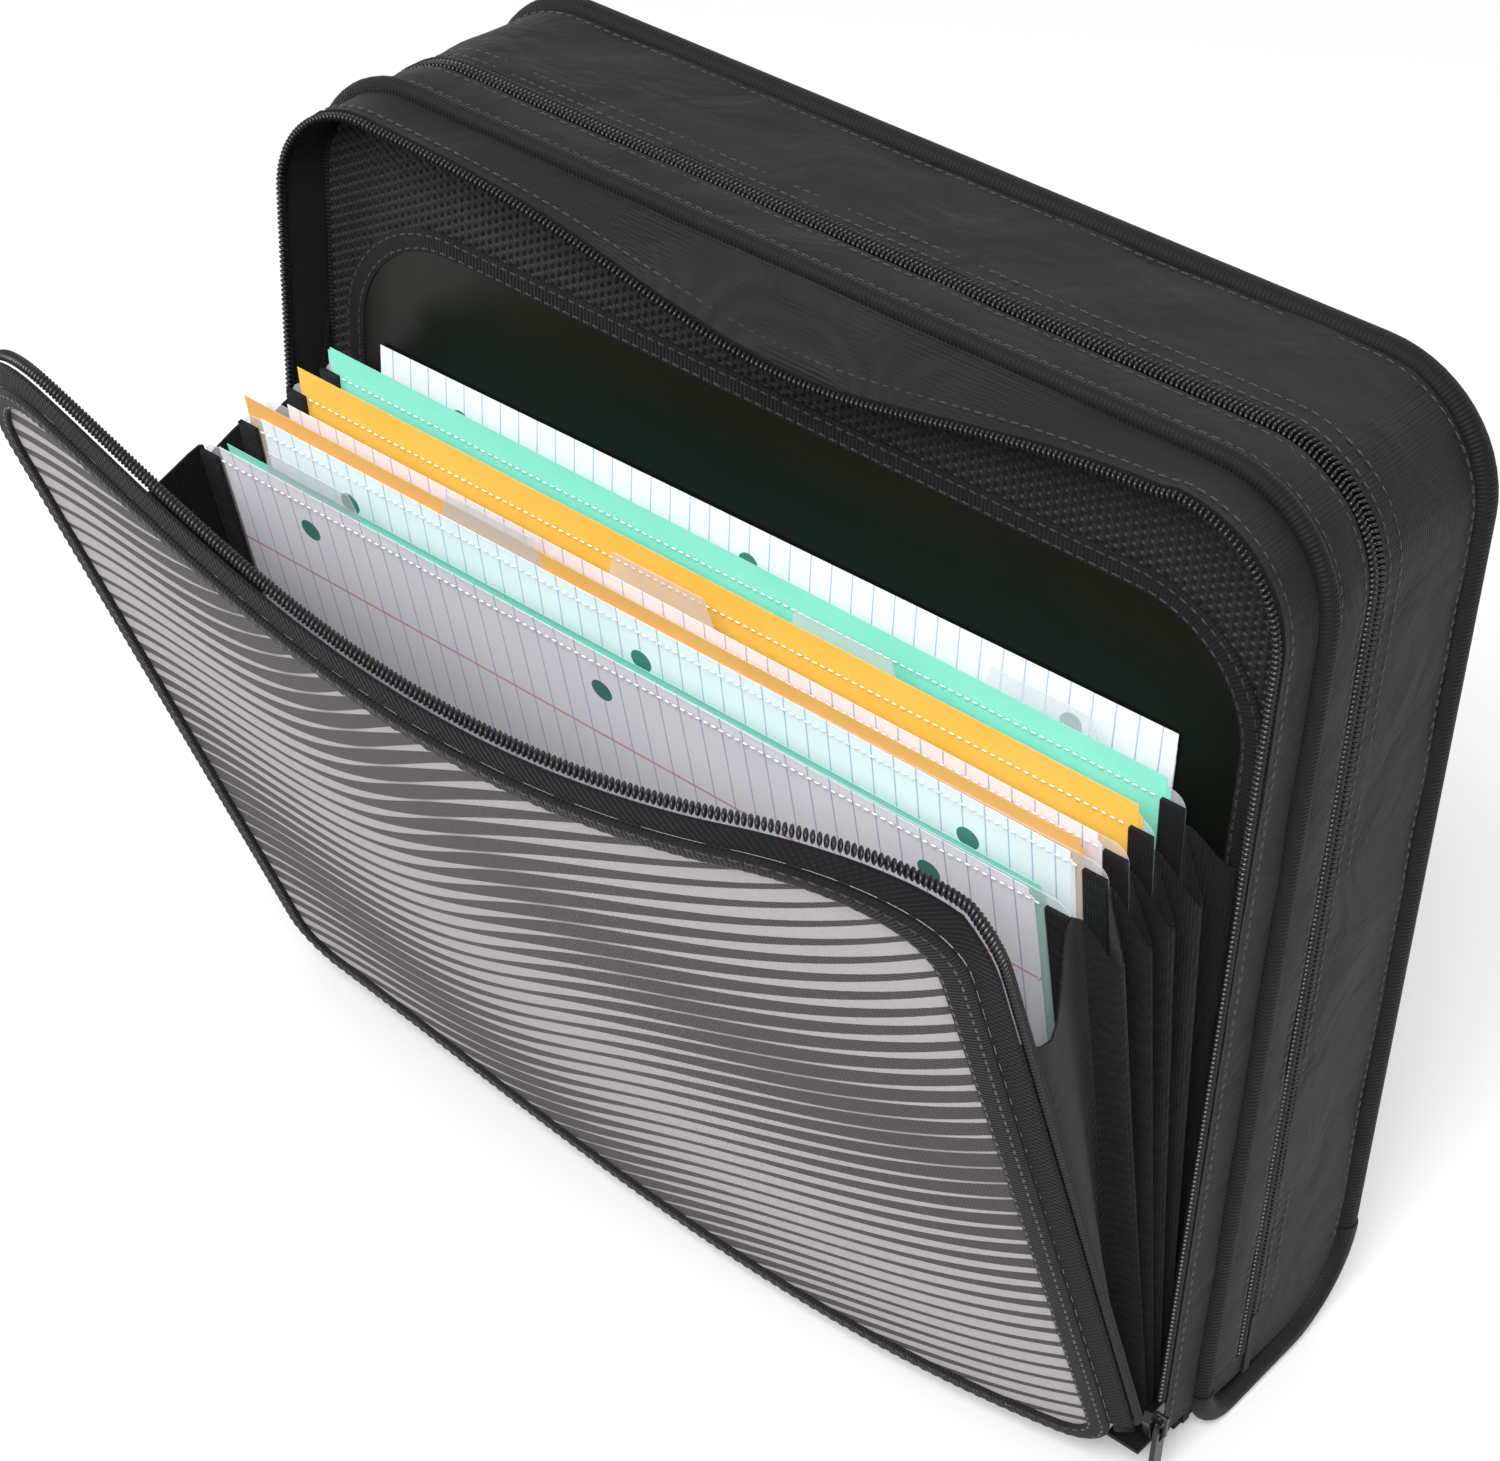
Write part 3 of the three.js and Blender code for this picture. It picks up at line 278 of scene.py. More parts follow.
def frosted_polypropylene():
    """Polypropylene sheet with a frosted face: milky, half clear, with a broad soft highlight."""
    material, tree, shader = finish_named("frosted_polypropylene", "#e6e9f0", 0.38, IOR=1.49, Alpha=0.3)
    point = object_point(tree)
    vary(tree, shader, point, "#e0e3ec", "#eef0f5", 60)
    grain = add(tree, "ShaderNodeTexNoise", {"Vector": point, "Scale": 1 / (1.1 * MM)}).outputs["Fac"]
    bump(tree, shader, [(grain, 0.03)])
    return material


def ruled_paper():
    """Uncoated notebook paper lying on its long side: faint blue rules 7.1 mm apart that stand upright,
    a red margin rule, three punched holes below the top edge painted dark mint as the card behind them in
    painted shade, and a fibrous white."""
    material, tree, shader = finish_named("uncoated_ruled_paper", "#f2f2fa", 0.85)
    point = surface_point(tree)
    mixed = vary(tree, shader, point, "#eeeef8", "#fafafd", 35)
    parts = add(tree, "ShaderNodeSeparateXYZ", {0: point})
    step = add(tree, "ShaderNodeMath", {0: parts.outputs[0], 1: RULE_PITCH * MM},
               operation="FLOORED_MODULO").outputs[0]
    rule = add(tree, "ShaderNodeMath", {0: step, 1: 0.45 * MM}, operation="LESS_THAN").outputs[0]
    lined = add(tree, "ShaderNodeMix", {0: rule, 6: mixed.outputs[2], 7: linear("#b3bfdd")}, data_type="RGBA")
    from_margin = add(tree, "ShaderNodeMath", {0: parts.outputs[1], 1: (PAPER_HEIGHT - MARGIN_DEPTH) * MM},
                      operation="SUBTRACT").outputs[0]
    distance = add(tree, "ShaderNodeMath", {0: from_margin}, operation="ABSOLUTE").outputs[0]
    margin = add(tree, "ShaderNodeMath", {0: distance, 1: 0.4 * MM}, operation="LESS_THAN").outputs[0]
    ruled = add(tree, "ShaderNodeMix", {0: margin, 6: lined.outputs[2], 7: linear("#dd9fae")},
                data_type="RGBA")
    moved = add(tree, "ShaderNodeMath", {0: parts.outputs[0], 1: HOLE_SPACING / 2 * MM},
                operation="ADD").outputs[0]
    folded = add(tree, "ShaderNodeMath", {0: moved, 1: HOLE_SPACING * MM},
                 operation="FLOORED_MODULO").outputs[0]
    beside = add(tree, "ShaderNodeMath", {0: folded, 1: HOLE_SPACING / 2 * MM},
                 operation="SUBTRACT").outputs[0]
    below = add(tree, "ShaderNodeMath", {0: parts.outputs[1], 1: (PAPER_HEIGHT - HOLE_DEPTH) * MM},
                operation="SUBTRACT").outputs[0]
    offset = add(tree, "ShaderNodeCombineXYZ", {0: beside, 1: below}).outputs[0]
    reach = add(tree, "ShaderNodeVectorMath", {0: offset}, operation="LENGTH").outputs["Value"]
    painted_hole_shade = add(tree, "ShaderNodeMath", {0: reach, 1: HOLE_SIZE / 2 * MM}, operation="LESS_THAN").outputs[0]
    # Each hole is painted a dark mint: the card behind seen through it, darkened by painted shade.
    done = add(tree, "ShaderNodeMix", {0: painted_hole_shade, 6: ruled.outputs[2], 7: linear("#3f7f74")}, data_type="RGBA")
    tree.links.new(done.outputs[2], shader.inputs["Base Color"])
    return material


def dyed_card(name, low, high):
    """Pulp-dyed card: an even colour with a soft mottle of fibres."""
    material, tree, shader = finish_named(name, low, 0.78)
    point = object_point(tree)
    vary(tree, shader, point, low, high, 22)
    fibres = add(tree, "ShaderNodeTexNoise", {"Vector": point, "Scale": 1 / (0.9 * MM)}).outputs["Fac"]
    bump(tree, shader, [(fibres, 0.04)])
    return material


def printed_weave():
    """Plain-woven cloth with a pigment print: slanting, swelling bands of warm grey on charcoal."""
    material, tree, shader = finish_named("pigment_printed_weave", "#4a4547", 0.66, Sheen_Weight=0.05,
                                          Specular_IOR_Level=0.25)
    parts = add(tree, "ShaderNodeSeparateXYZ", {0: surface_point(tree)})
    across, along = parts.outputs[0], parts.outputs[1]
    turn = add(tree, "ShaderNodeMath", {0: across, 1: 2 * math.pi / (250 * MM)},
               operation="MULTIPLY").outputs[0]
    swing = add(tree, "ShaderNodeMath", {0: turn}, operation="SINE").outputs[0]
    rising = add(tree, "ShaderNodeMath", {0: across, 1: 0.62, 2: along},
                 operation="MULTIPLY_ADD").outputs[0]
    falling = add(tree, "ShaderNodeMath", {0: across, 1: -0.62, 2: along},
                  operation="MULTIPLY_ADD").outputs[0]
    height = add(tree, "ShaderNodeMath", {0: swing, 1: -11 * MM, 2: falling},
                 operation="MULTIPLY_ADD").outputs[0]
    phase = add(tree, "ShaderNodeMath", {0: height, 1: 2 * math.pi / (8 * MM)},
                operation="MULTIPLY").outputs[0]
    band = add(tree, "ShaderNodeMath", {0: phase}, operation="SINE").outputs[0]
    swell = add(tree, "ShaderNodeMath", {0: rising, 1: 2 * math.pi / (250 * MM)},
                operation="MULTIPLY").outputs[0]
    taper = add(tree, "ShaderNodeMath", {0: swell}, operation="COSINE").outputs[0]
    level = add(tree, "ShaderNodeMath", {0: taper, 1: 0.8, 2: 0.16}, operation="MULTIPLY_ADD").outputs[0]
    above = add(tree, "ShaderNodeMath", {0: band, 1: level}, operation="SUBTRACT").outputs[0]
    ink = add(tree, "ShaderNodeMapRange", {0: above, 1: -0.12, 2: 0.12}, interpolation_type="SMOOTHSTEP")
    mixed = add(tree, "ShaderNodeMix", {0: ink.outputs[0], 6: linear("#3f3b3d"), 7: linear("#aba6a9")},
                data_type="RGBA")
    tree.links.new(mixed.outputs[2], shader.inputs["Base Color"])
    bump(tree, shader, [(waves(tree, surface_point(tree), 1.1), 0.14)])
    return material


def sewing_thread(name, colour):
    """Twisted polyester sewing thread: a soft, slightly shiny strand."""
    material, tree, shader = finish_named(name, colour, 0.5, Sheen_Weight=0.3)
    twist = add(tree, "ShaderNodeTexNoise", {"Vector": object_point(tree), "Scale": 1 / (0.6 * MM)})
    bump(tree, shader, [(twist.outputs["Fac"], 0.06)])
    return material


def painted_zinc():
    """Die-cast zinc under black enamel: smooth and shiny, duller where fingers rub it."""
    material, tree, shader = finish_named("enamelled_die_cast_zinc", "#141416", 0.3, Metallic=0.35,
                                          Coat_Weight=0.4)
    worn = add(tree, "ShaderNodeTexNoise", {"Vector": object_point(tree), "Scale": 1 / (4 * MM)})
    rough = add(tree, "ShaderNodeMapRange", {0: worn.outputs["Fac"], 3: 0.22, 4: 0.45})
    tree.links.new(rough.outputs[0], shader.inputs["Roughness"])
    return material


def plated_steel():
    """Nickel-plated steel: bright and slightly warm, with a fine drawn grain."""
    material, tree, shader = finish_named("nickel_plated_steel", "#c9cacc", 0.2, Metallic=1.0)
    grain = add(tree, "ShaderNodeTexNoise", {"Vector": object_point(tree), "Scale": 1 / (3 * MM)})
    rough = add(tree, "ShaderNodeMapRange", {0: grain.outputs["Fac"], 3: 0.14, 4: 0.3})
    tree.links.new(rough.outputs[0], shader.inputs["Roughness"])
    return material


case_cloth = woven_polyester("calendered_polyester_cloth", "#0f0e10", "#171618", 0.9, 2.2)
wall_cloth = woven_polyester("twill_polyester_wall", "#0f0e10", "#181719", 0.9, 3.2)
pleat_cloth = woven_polyester("soft_polyester_pleat", "#0d0c0e", "#141315", 0.9, 1.6)
edge_tape = grosgrain("grosgrain_edge_tape", "#0c0b0d", "#131214")
window_tape = grosgrain("grosgrain_window_tape", "#100f11", "#19181a")
zip_tape = knitted_tape()
coil_nylon = moulded_nylon()
lining_mesh = embossed_mesh()
film = film_with_painted_sheen()
frosted = frosted_polypropylene()
paper = ruled_paper()
mint_card = dyed_card("pulp_dyed_mint_card", "#7fdcc3", "#98e6d1")
orange_card = dyed_card("pulp_dyed_orange_card", "#f2ab55", "#f8bd70")
yellow_card = dyed_card("pulp_dyed_yellow_card", "#f0bb45", "#f7cb62")
print_cloth = printed_weave()
black_thread = sewing_thread("black_sewing_thread", "#121114")
white_thread = sewing_thread("white_sewing_thread", "#f2f2f4")
enamel = painted_zinc()
nickel = plated_steel()

SLOT_FINISH = {
    "case_cloth": case_cloth, "edge_binding": edge_tape, "zipper_coil": coil_nylon, "slider_metal": enamel,
    "ring_steel": nickel, "print_cloth": print_cloth, "print_ink": print_cloth, "window_film": film,
    "divider_poly": frosted, "white_paper": paper, "mint_paper": mint_card, "orange_card": orange_card,
    "yellow_card": yellow_card,
}


def carry_over_frame():
    """Gives every node of the frame the finish of its slot."""
    slots = {part["node"]: part["material_slot"] for part in frame["record"]["subparts"]}
    for name, obj in frame["nodes"].items():
        obj.data.materials.clear()
        obj.data.materials.append(SLOT_FINISH[slots[name]])


def keep(obj, material, body, slot, replaced=(), sharp=40):
    """Shades a finished piece, gives it its finish and lets it ride on its body."""
    mesh = obj.data
    if not mesh.materials:
        mesh.materials.append(material)
    mesh.shade_smooth()
    mesh.set_sharp_from_angle(angle=math.radians(sharp))
    if replaced:
        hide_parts(*replaced)
    if body:
        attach(obj, body)
    return obj


def mesh_object(name, points, faces, coordinates):
    """A mesh from points in millimetres, with its surface coordinates and its faces pointing out."""
    mesh = bpy.data.meshes.new(name)
    mesh.from_pydata([Vector(p) * MM for p in points], [], faces)
    layer = mesh.uv_layers.new(name="surface")
    layer.data.foreach_set("uv", [c * MM for face in coordinates for pair in face for c in pair])
    shape = bmesh.new()
    shape.from_mesh(mesh)
    bmesh.ops.recalc_face_normals(shape, faces=shape.faces)
    shape.to_mesh(mesh)
    shape.free()
    obj = bpy.data.objects.new(name, mesh)
    bpy.context.scene.collection.objects.link(obj)
    return obj


def loft(name, lines, closed=False):
    """A closed skin over lines of equal length, which are the corners of its cross section in order."""
    corners, stations = len(lines), len(lines[0])
    grid = np.array(lines, float)
    along = np.concatenate([[0], np.cumsum(np.linalg.norm(np.diff(grid[0], axis=0), axis=1))])
    ring = np.linalg.norm(np.roll(grid[:, stations // 2], -1, axis=0) - grid[:, stations // 2], axis=1)
    around = np.concatenate([[0], np.cumsum(ring)])
    points = grid.reshape(-1, 3).tolist()
    faces, coordinates = [], []
    for i in range(stations if closed else stations - 1):
        k = (i + 1) % stations
        end = along[k] if k else along[-1] + 1
        for j in range(corners):
            m = (j + 1) % corners
            faces.append((j * stations + i, m * stations + i, m * stations + k, j * stations + k))
            coordinates.append(((along[i], around[j]), (along[i], around[j + 1]), (end, around[j + 1]),
                                (end, around[j])))
    if not closed:
        for i in (0, stations - 1):
            faces.append(tuple(j * stations + i for j in range(corners)))
            coordinates.append(tuple((along[i], around[j]) for j in range(corners)))
    return mesh_object(name, points, faces, coordinates)


def sheet_grid(name, columns, rows, front, back, flat):
    """A curved sheet with a rim: front and back give points, and flat gives its own flat coordinates."""
    points, places = [], []
    for side in (front, back):
        for j in range(rows + 1):
            for i in range(columns + 1):
                points.append(side(i / columns, j / rows))
                places.append(flat(i / columns, j / rows))
    across, total = columns + 1, (columns + 1) * (rows + 1)
    faces = []
    for j in range(rows):
        for i in range(columns):
            a = j * across + i
            faces.append((a, a + 1, a + across + 1, a + across))
            faces.append((a + total, a + across + total, a + across + 1 + total, a + 1 + total))
    rim = list(range(columns)) + [j * across + columns for j in range(rows)]
    rim += [rows * across + i for i in range(columns, 0, -1)] + [j * across for j in range(rows, 0, -1)]
    for n, a in enumerate(rim):
        b = rim[(n + 1) % len(rim)]
        faces.append((b, a, a + total, b + total))
    return mesh_object(name, points, faces, [[places[v] for v in face] for face in faces])


def flat_plate(name, outline, y0, y1):
    """A flat plate of an outline in X and Z, between two depths."""
    n = len(outline)
    points = [(x, y0, z) for x, z in outline] + [(x, y1, z) for x, z in outline]
    faces = [tuple(range(n)), tuple(range(2 * n - 1, n - 1, -1))]
    faces += [(i, n + i, n + (i + 1) % n, (i + 1) % n) for i in range(n)]
    return mesh_object(name, points, faces, [[(points[v][0], points[v][2]) for v in face] for face in faces])


def arch_line(inset, y, bottom, sag=0.0):
    """The covers' outline at an inset and a depth, from the left foot over the top to the right foot."""
    half, top, radius = HALF_WIDTH - inset, BINDER_HEIGHT - inset, CORNER_RADIUS - inset
    left = [(-half, bottom + (top - radius - bottom) * i / 40) for i in range(40)]
    for i in range(15):
        turn = i / 14 * math.pi / 2
        left.append((-half + radius * (1 - math.cos(turn)), top - radius * (1 - math.sin(turn))))
    line = list(left)
    for i in range(1, 60):
        x = (half - radius) * (2 * i / 60 - 1)
        line.append((x, top - sag * math.exp(-(((x - SAG_CENTRE) / SAG_WIDTH) ** 2))))
    line += [(-x, z) for x, z in reversed(left)]
    return [(x, y, z) for x, z in line]


def arch_directions(bottom):
    """The outward directions of the covers' outline, in the order of arch_line."""
    inner, outer = np.array(arch_line(4, 0, bottom)), np.array(arch_line(2, 0, bottom))
    apart = outer - inner
    apart[0], apart[-1] = (-1, 0, 0), (1, 0, 0)
    apart[:40] = (-1, 0, 0)
    apart[-40:] = (1, 0, 0)
    return apart / np.linalg.norm(apart, axis=1)[:, None]


def crumple(obj, amount, size, centre):
    """Moves a cloth wall in and out in slow creases, both of its faces together."""
    middle = Vector(centre) * MM
    foot = min(vertex.co.z for vertex in obj.data.vertices)
    moves = []
    for vertex in obj.data.vertices:
        away = vertex.co - middle
        away.y = 0
        away.normalize()
        crease = noise.noise(vertex.co / (size * MM)) + 0.5 * noise.noise(vertex.co / (0.35 * size * MM))
        fade = max(0, min(1, (vertex.co.z - foot) / (30 * MM)))
        moves.append(away * crease * fade * amount * MM)
    for vertex, move in zip(obj.data.vertices, moves):
        vertex.co += move
    return obj


def repeat_tree():
    """Sets small rounded pieces along a path: teeth of a coil, or stitches."""
    tree = bpy.data.node_groups.new("pieces_along_a_path", "GeometryNodeTree")
    face = tree.interface
    face.new_socket("Geometry", in_out="INPUT", socket_type="NodeSocketGeometry")
    for name in ("Pitch", "Slant"):
        face.new_socket(name, in_out="INPUT", socket_type="NodeSocketFloat")
    face.new_socket("Size", in_out="INPUT", socket_type="NodeSocketVector")
    face.new_socket("Material", in_out="INPUT", socket_type="NodeSocketMaterial")
    face.new_socket("Geometry", in_out="OUTPUT", socket_type="NodeSocketGeometry")
    given = add(tree, "NodeGroupInput").outputs
    path = add(tree, "GeometryNodeMeshToCurve", {"Mesh": given["Geometry"]}).outputs[0]
    even = add(tree, "GeometryNodeResampleCurve", {"Curve": path, "Length": given["Pitch"]}, mode="LENGTH")
    out = add(tree, "GeometryNodeInputNamedAttribute", {"Name": "out"}, data_type="FLOAT_VECTOR")
    way = add(tree, "GeometryNodeInputTangent").outputs[0]
    turn = add(tree, "FunctionNodeAxesToRotation", {0: way, 1: out.outputs[0]}, primary_axis="X",
               secondary_axis="Z").outputs[0]
    ball = add(tree, "GeometryNodeMeshUVSphere", {"Segments": 8, "Rings": 6, "Radius": 0.5}).outputs[0]
    tilt = add(tree, "ShaderNodeCombineXYZ", {2: given["Slant"]}).outputs[0]
    sized = add(tree, "GeometryNodeTransform", {"Geometry": ball, "Scale": given["Size"]}).outputs[0]
    tilted = add(tree, "GeometryNodeTransform", {"Geometry": sized, "Rotation": tilt}).outputs[0]
    placed = add(tree, "GeometryNodeInstanceOnPoints", {"Points": even.outputs[0], "Instance": tilted,
                                                        "Rotation": turn}).outputs[0]
    real = add(tree, "GeometryNodeRealizeInstances", {"Geometry": placed}).outputs[0]
    dressed = add(tree, "GeometryNodeSetMaterial", {"Geometry": real, "Material": given["Material"]})
    add(tree, "NodeGroupOutput", {0: dressed.outputs[0]})
    return tree


PIECES_ALONG = repeat_tree()


def along(name, line, directions, pitch, size, material, body, slot, slant=0.0, closed=False, replaced=()):
    """Pieces along a line, each with its length on the line and its height along the direction."""
    mesh = bpy.data.meshes.new(name)
    count = len(line)
    edges = [(i, i + 1) for i in range(count - 1)] + ([(count - 1, 0)] if closed else [])
    mesh.from_pydata([Vector(p) * MM for p in line], edges, [])
    out = mesh.attributes.new("out", "FLOAT_VECTOR", "POINT")
    out.data.foreach_set("vector", np.array(directions, np.float32).ravel())
    obj = bpy.data.objects.new(name, mesh)
    bpy.context.scene.collection.objects.link(obj)
    modifier = obj.modifiers.new("pieces", "NODES")
    modifier.node_group = PIECES_ALONG
    values = {"Pitch": pitch * MM, "Slant": slant, "Size": [v * MM for v in size], "Material": material}
    for item in PIECES_ALONG.interface.items_tree:
        if item.in_out == "INPUT" and item.name in values:
            modifier[item.identifier] = values[item.name]
    evaluated = obj.evaluated_get(bpy.context.evaluated_depsgraph_get())
    obj.data = bpy.data.meshes.new_from_object(evaluated)
    obj.modifiers.clear()
    obj.data.name = name
    return keep(obj, material, body, slot, replaced, 180)


def stitches(name, line, directions, body, material=None, closed=False, slot="case_cloth"):
    size = (STITCH_LENGTH, STITCH_THREAD, STITCH_THREAD)
    thread = material or black_thread
    return along(name, line, directions, STITCH_PITCH, size, thread, body, slot, closed=closed)


def soften(node, material, body, slot, bevel):
    """A copy of a hard node with its edges rounded off, which stands for it."""
    source = frame["nodes"][node]
    obj = bpy.data.objects.new(f"{node}_finished", source.data.copy())
    bpy.context.scene.collection.objects.link(obj)
    shape = bmesh.new()
    shape.from_mesh(obj.data)
    bmesh.ops.remove_doubles(shape, verts=shape.verts, dist=0.01 * MM)
    bmesh.ops.dissolve_limit(shape, angle_limit=math.radians(1), verts=shape.verts, edges=shape.edges)
    shape.to_mesh(obj.data)
    shape.free()
    obj.data.materials.clear()
    edge = obj.modifiers.new("rounded_edges", "BEVEL")
    edge.width = bevel * MM
    edge.segments = 2
    edge.limit_method = "ANGLE"
    edge.angle_limit = math.radians(35)
    return keep(obj, material, body, slot, (node,), 35)


# Camera and light
VIEW_FROM = Vector((485.504, -649.354, 752.391)) * MM
VIEW_AROUND = math.radians(38.65)
VIEW_DOWN = math.radians(36.95)
VIEW_ROLL = math.radians(2.64)
FOCAL_PIXELS = 3489.16
PHOTO_WIDTH = 1500


def place_camera():
    camera = bpy.data.cameras.new("camera")
    camera.sensor_width = 36
    camera.lens = FOCAL_PIXELS / PHOTO_WIDTH * camera.sensor_width
    camera.clip_end = 20
    obj = bpy.data.objects.new("camera", camera)
    back = Vector((math.sin(VIEW_AROUND) * math.cos(VIEW_DOWN), -math.cos(VIEW_AROUND) * math.cos(VIEW_DOWN),
                   math.sin(VIEW_DOWN)))
    right = (-back).cross(Vector((0, 0, 1))).normalized()
    up = right.cross(-back)
    rolled_right = right * math.cos(VIEW_ROLL) + up * math.sin(VIEW_ROLL)
    rolled_up = up * math.cos(VIEW_ROLL) - right * math.sin(VIEW_ROLL)
    turn = Matrix((rolled_right, rolled_up, back)).transposed()
    obj.matrix_world = Matrix.Translation(VIEW_FROM) @ turn.to_4x4()
    bpy.context.scene.collection.objects.link(obj)
    bpy.context.scene.camera = obj


def softbox(name, place, size, watts):
    lamp = bpy.data.lights.new(name, "AREA")
    lamp.shape = "SQUARE"
    lamp.size = size
    lamp.energy = watts
    obj = bpy.data.objects.new(name, lamp)
    target = Vector((0, -0.04, 0.15))
    obj.location = place
    obj.rotation_euler = (target - Vector(place)).to_track_quat("-Z", "Y").to_euler()
    bpy.context.scene.collection.objects.link(obj)


def light_the_set():
    softbox("key", (0.62, -1.35, 1.75), 0.9, 54)
    softbox("fill", (-1.4, -1.1, 1.3), 1.2, 16)
    softbox("rim", (0.3, 1.5, 1.6), 1.3, 12)
    world = bpy.data.worlds.new("studio")
    world.use_nodes = True
    tree = world.node_tree
    path = add(tree, "ShaderNodeLightPath").outputs
    seen = add(tree, "ShaderNodeMath", {0: path["Is Camera Ray"], 1: path["Is Transmission Ray"]},
               operation="MAXIMUM").outputs[0]
    strength = add(tree, "ShaderNodeMapRange", {0: seen, 3: 0.5, 4: 1.0}).outputs[0]
    tree.links.new(strength, tree.nodes["Background"].inputs["Strength"])
    tree.nodes["Background"].inputs["Color"].default_value = (1, 1, 1, 1)
    bpy.context.scene.world = world
    bpy.context.scene.view_settings.view_transform = "Standard"


def lay_floor():
    mesh = bpy.data.meshes.new("floor")
    mesh.from_pydata([(-6, -6, 0), (6, -6, 0), (6, 6, 0), (-6, 6, 0)], [], [(0, 1, 2, 3)])
    floor = bpy.data.objects.new("floor", mesh)
    bpy.context.scene.collection.objects.link(floor)
    material, tree, shader = finish_named("matt_white_table", "#cfcfcf", 0.9, Specular_IOR_Level=0.1)
    path = add(tree, "ShaderNodeLightPath").outputs
    glow = add(tree, "ShaderNodeEmission", {"Color": (1, 1, 1, 1)})
    lift = add(tree, "ShaderNodeMath", {0: path["Is Camera Ray"], 1: 0.22}, operation="MULTIPLY").outputs[0]
    tree.links.new(lift, glow.inputs["Strength"])
    both = add(tree, "ShaderNodeAddShader", {0: shader.outputs[0], 1: glow.outputs[0]})
    tree.links.new(both.outputs[0], tree.nodes["Material Output"].inputs["Surface"])
    mesh.materials.append(material)


# Case: spine, bindings, walls and covers
def make_spine():
    arc_y = REAR_PLANE + BOARD / 2 - SPINE_REAR_RADIUS
    turns = [-math.pi / 2 + math.pi / 2 * i / 20 for i in range(21)]
    front_edge = FRONT_PLANE - FRONT_RADIUS + SEAM_GAP
    section = [(front_edge, 0.4), (front_edge + 0.4, 0)]
    section += [(front_edge + (arc_y - front_edge) * i / 8, 0) for i in range(1, 8)]
    outer, inner = SPINE_REAR_RADIUS, SPINE_REAR_RADIUS - BOARD
    section += [(arc_y + outer * math.cos(t), outer + outer * math.sin(t)) for t in turns]
    section += [(arc_y + inner * math.cos(t), outer + inner * math.sin(t)) for t in reversed(turns)]
    section += [(front_edge, BOARD)]
    reach = HALF_WIDTH - 2 * REAR_RADIUS - SEAM_GAP
    stations = [-reach + 2 * reach * i / 40 for i in range(41)]
    spine = loft("spine_cloth", [[(x, y, z) for x in stations] for y, z in section])
    keep(spine, case_cloth, "case_spine", "case_cloth", ("spine",))


def make_spine_bindings():
    """The spine's cloth wraps its two end bindings; the wrap is a little wider than they are."""
    front_turn, rear_turn = SPINE_FRONT_RADIUS - FRONT_RADIUS, SPINE_REAR_RADIUS - REAR_RADIUS
    for side, word in ((-1, "left"), (1, "right")):
        path = []
        for i in range(13):
            t = i / 12 * math.pi / 2
            path.append((FRONT_PLANE + front_turn * (1 - math.cos(t)),
                         SPINE_FRONT_RADIUS - front_turn * math.sin(t),
                         -math.cos(t), -math.sin(t), FRONT_RADIUS))
        for i in range(1, 6):
            share = i / 6
            y = FRONT_PLANE + front_turn + share * (REAR_PLANE - rear_turn - FRONT_PLANE - front_turn)
            radius = FRONT_RADIUS + share * (REAR_RADIUS - FRONT_RADIUS)
            path.append((y, radius, 0, -1, radius))
        for i in range(17):
            t = i / 16 * math.pi / 2
            path.append((REAR_PLANE - rear_turn * (1 - math.sin(t)),
                         SPINE_REAR_RADIUS - rear_turn * math.cos(t),
                         math.sin(t), -math.cos(t), REAR_RADIUS))
        lines = []
        for n in range(16):
            turn = n / 16 * 2 * math.pi
            line = []
            for y, z, out_y, out_z, radius in path:
                reach_y = (radius + (WRAP if z > radius else 0)) * math.cos(turn)
                reach_z = (radius + (WRAP if z > radius + WRAP else 0)) * math.cos(turn)
                line.append((side * (HALF_WIDTH - radius + (radius + WRAP) * math.sin(turn)),
                             y + out_y * reach_y, z + out_z * reach_z))
            lines.append(line)
        tube = loft(f"spine_binding_{word}_tape", lines)
        keep(tube, case_cloth, "case_spine", "case_cloth", (f"spine_binding_{word}",))


def arch_tube(name, radius, plane, bottom, body, node):
    lines = []
    for n in range(16):
        turn = n / 16 * 2 * math.pi
        lines.append(arch_line(radius * (1 - math.cos(turn)), plane + radius * math.sin(turn), bottom))
    return keep(loft(name, lines), edge_tape, body, "edge_binding", (node,))


def arch_wall(name, y0, y1, bottom, body, node, crease):
    """A cloth wall with eleven lines across it on each face, so that it can crease."""
    depths = [y0 + (y1 - y0) * i / 10 for i in range(11)]
    lines = [arch_line(FRONT_RADIUS - 0.35 * math.sin(math.pi * i / 10), y, bottom)
             for i, y in enumerate(depths)]
    lines += [arch_line(FRONT_RADIUS + CLOTH, y, bottom) for y in reversed(depths)]
    wall = crumple(loft(name, lines), crease, 26, (0, 0, 150))
    return keep(wall, wall_cloth, body, "case_cloth", (node,))


def arch_stitches(name, inset, y, bottom, body, sag=0.0):
    return stitches(name, arch_line(inset, y, bottom, sag), arch_directions(bottom), body)


def coil_row(name, line, directions, body, node, slant, across=3.7, high=2.5):
    return along(name, line, directions, COIL_PITCH, (1.35, across, high), coil_nylon, body, "zipper_coil",
                 slant, replaced=(node,))


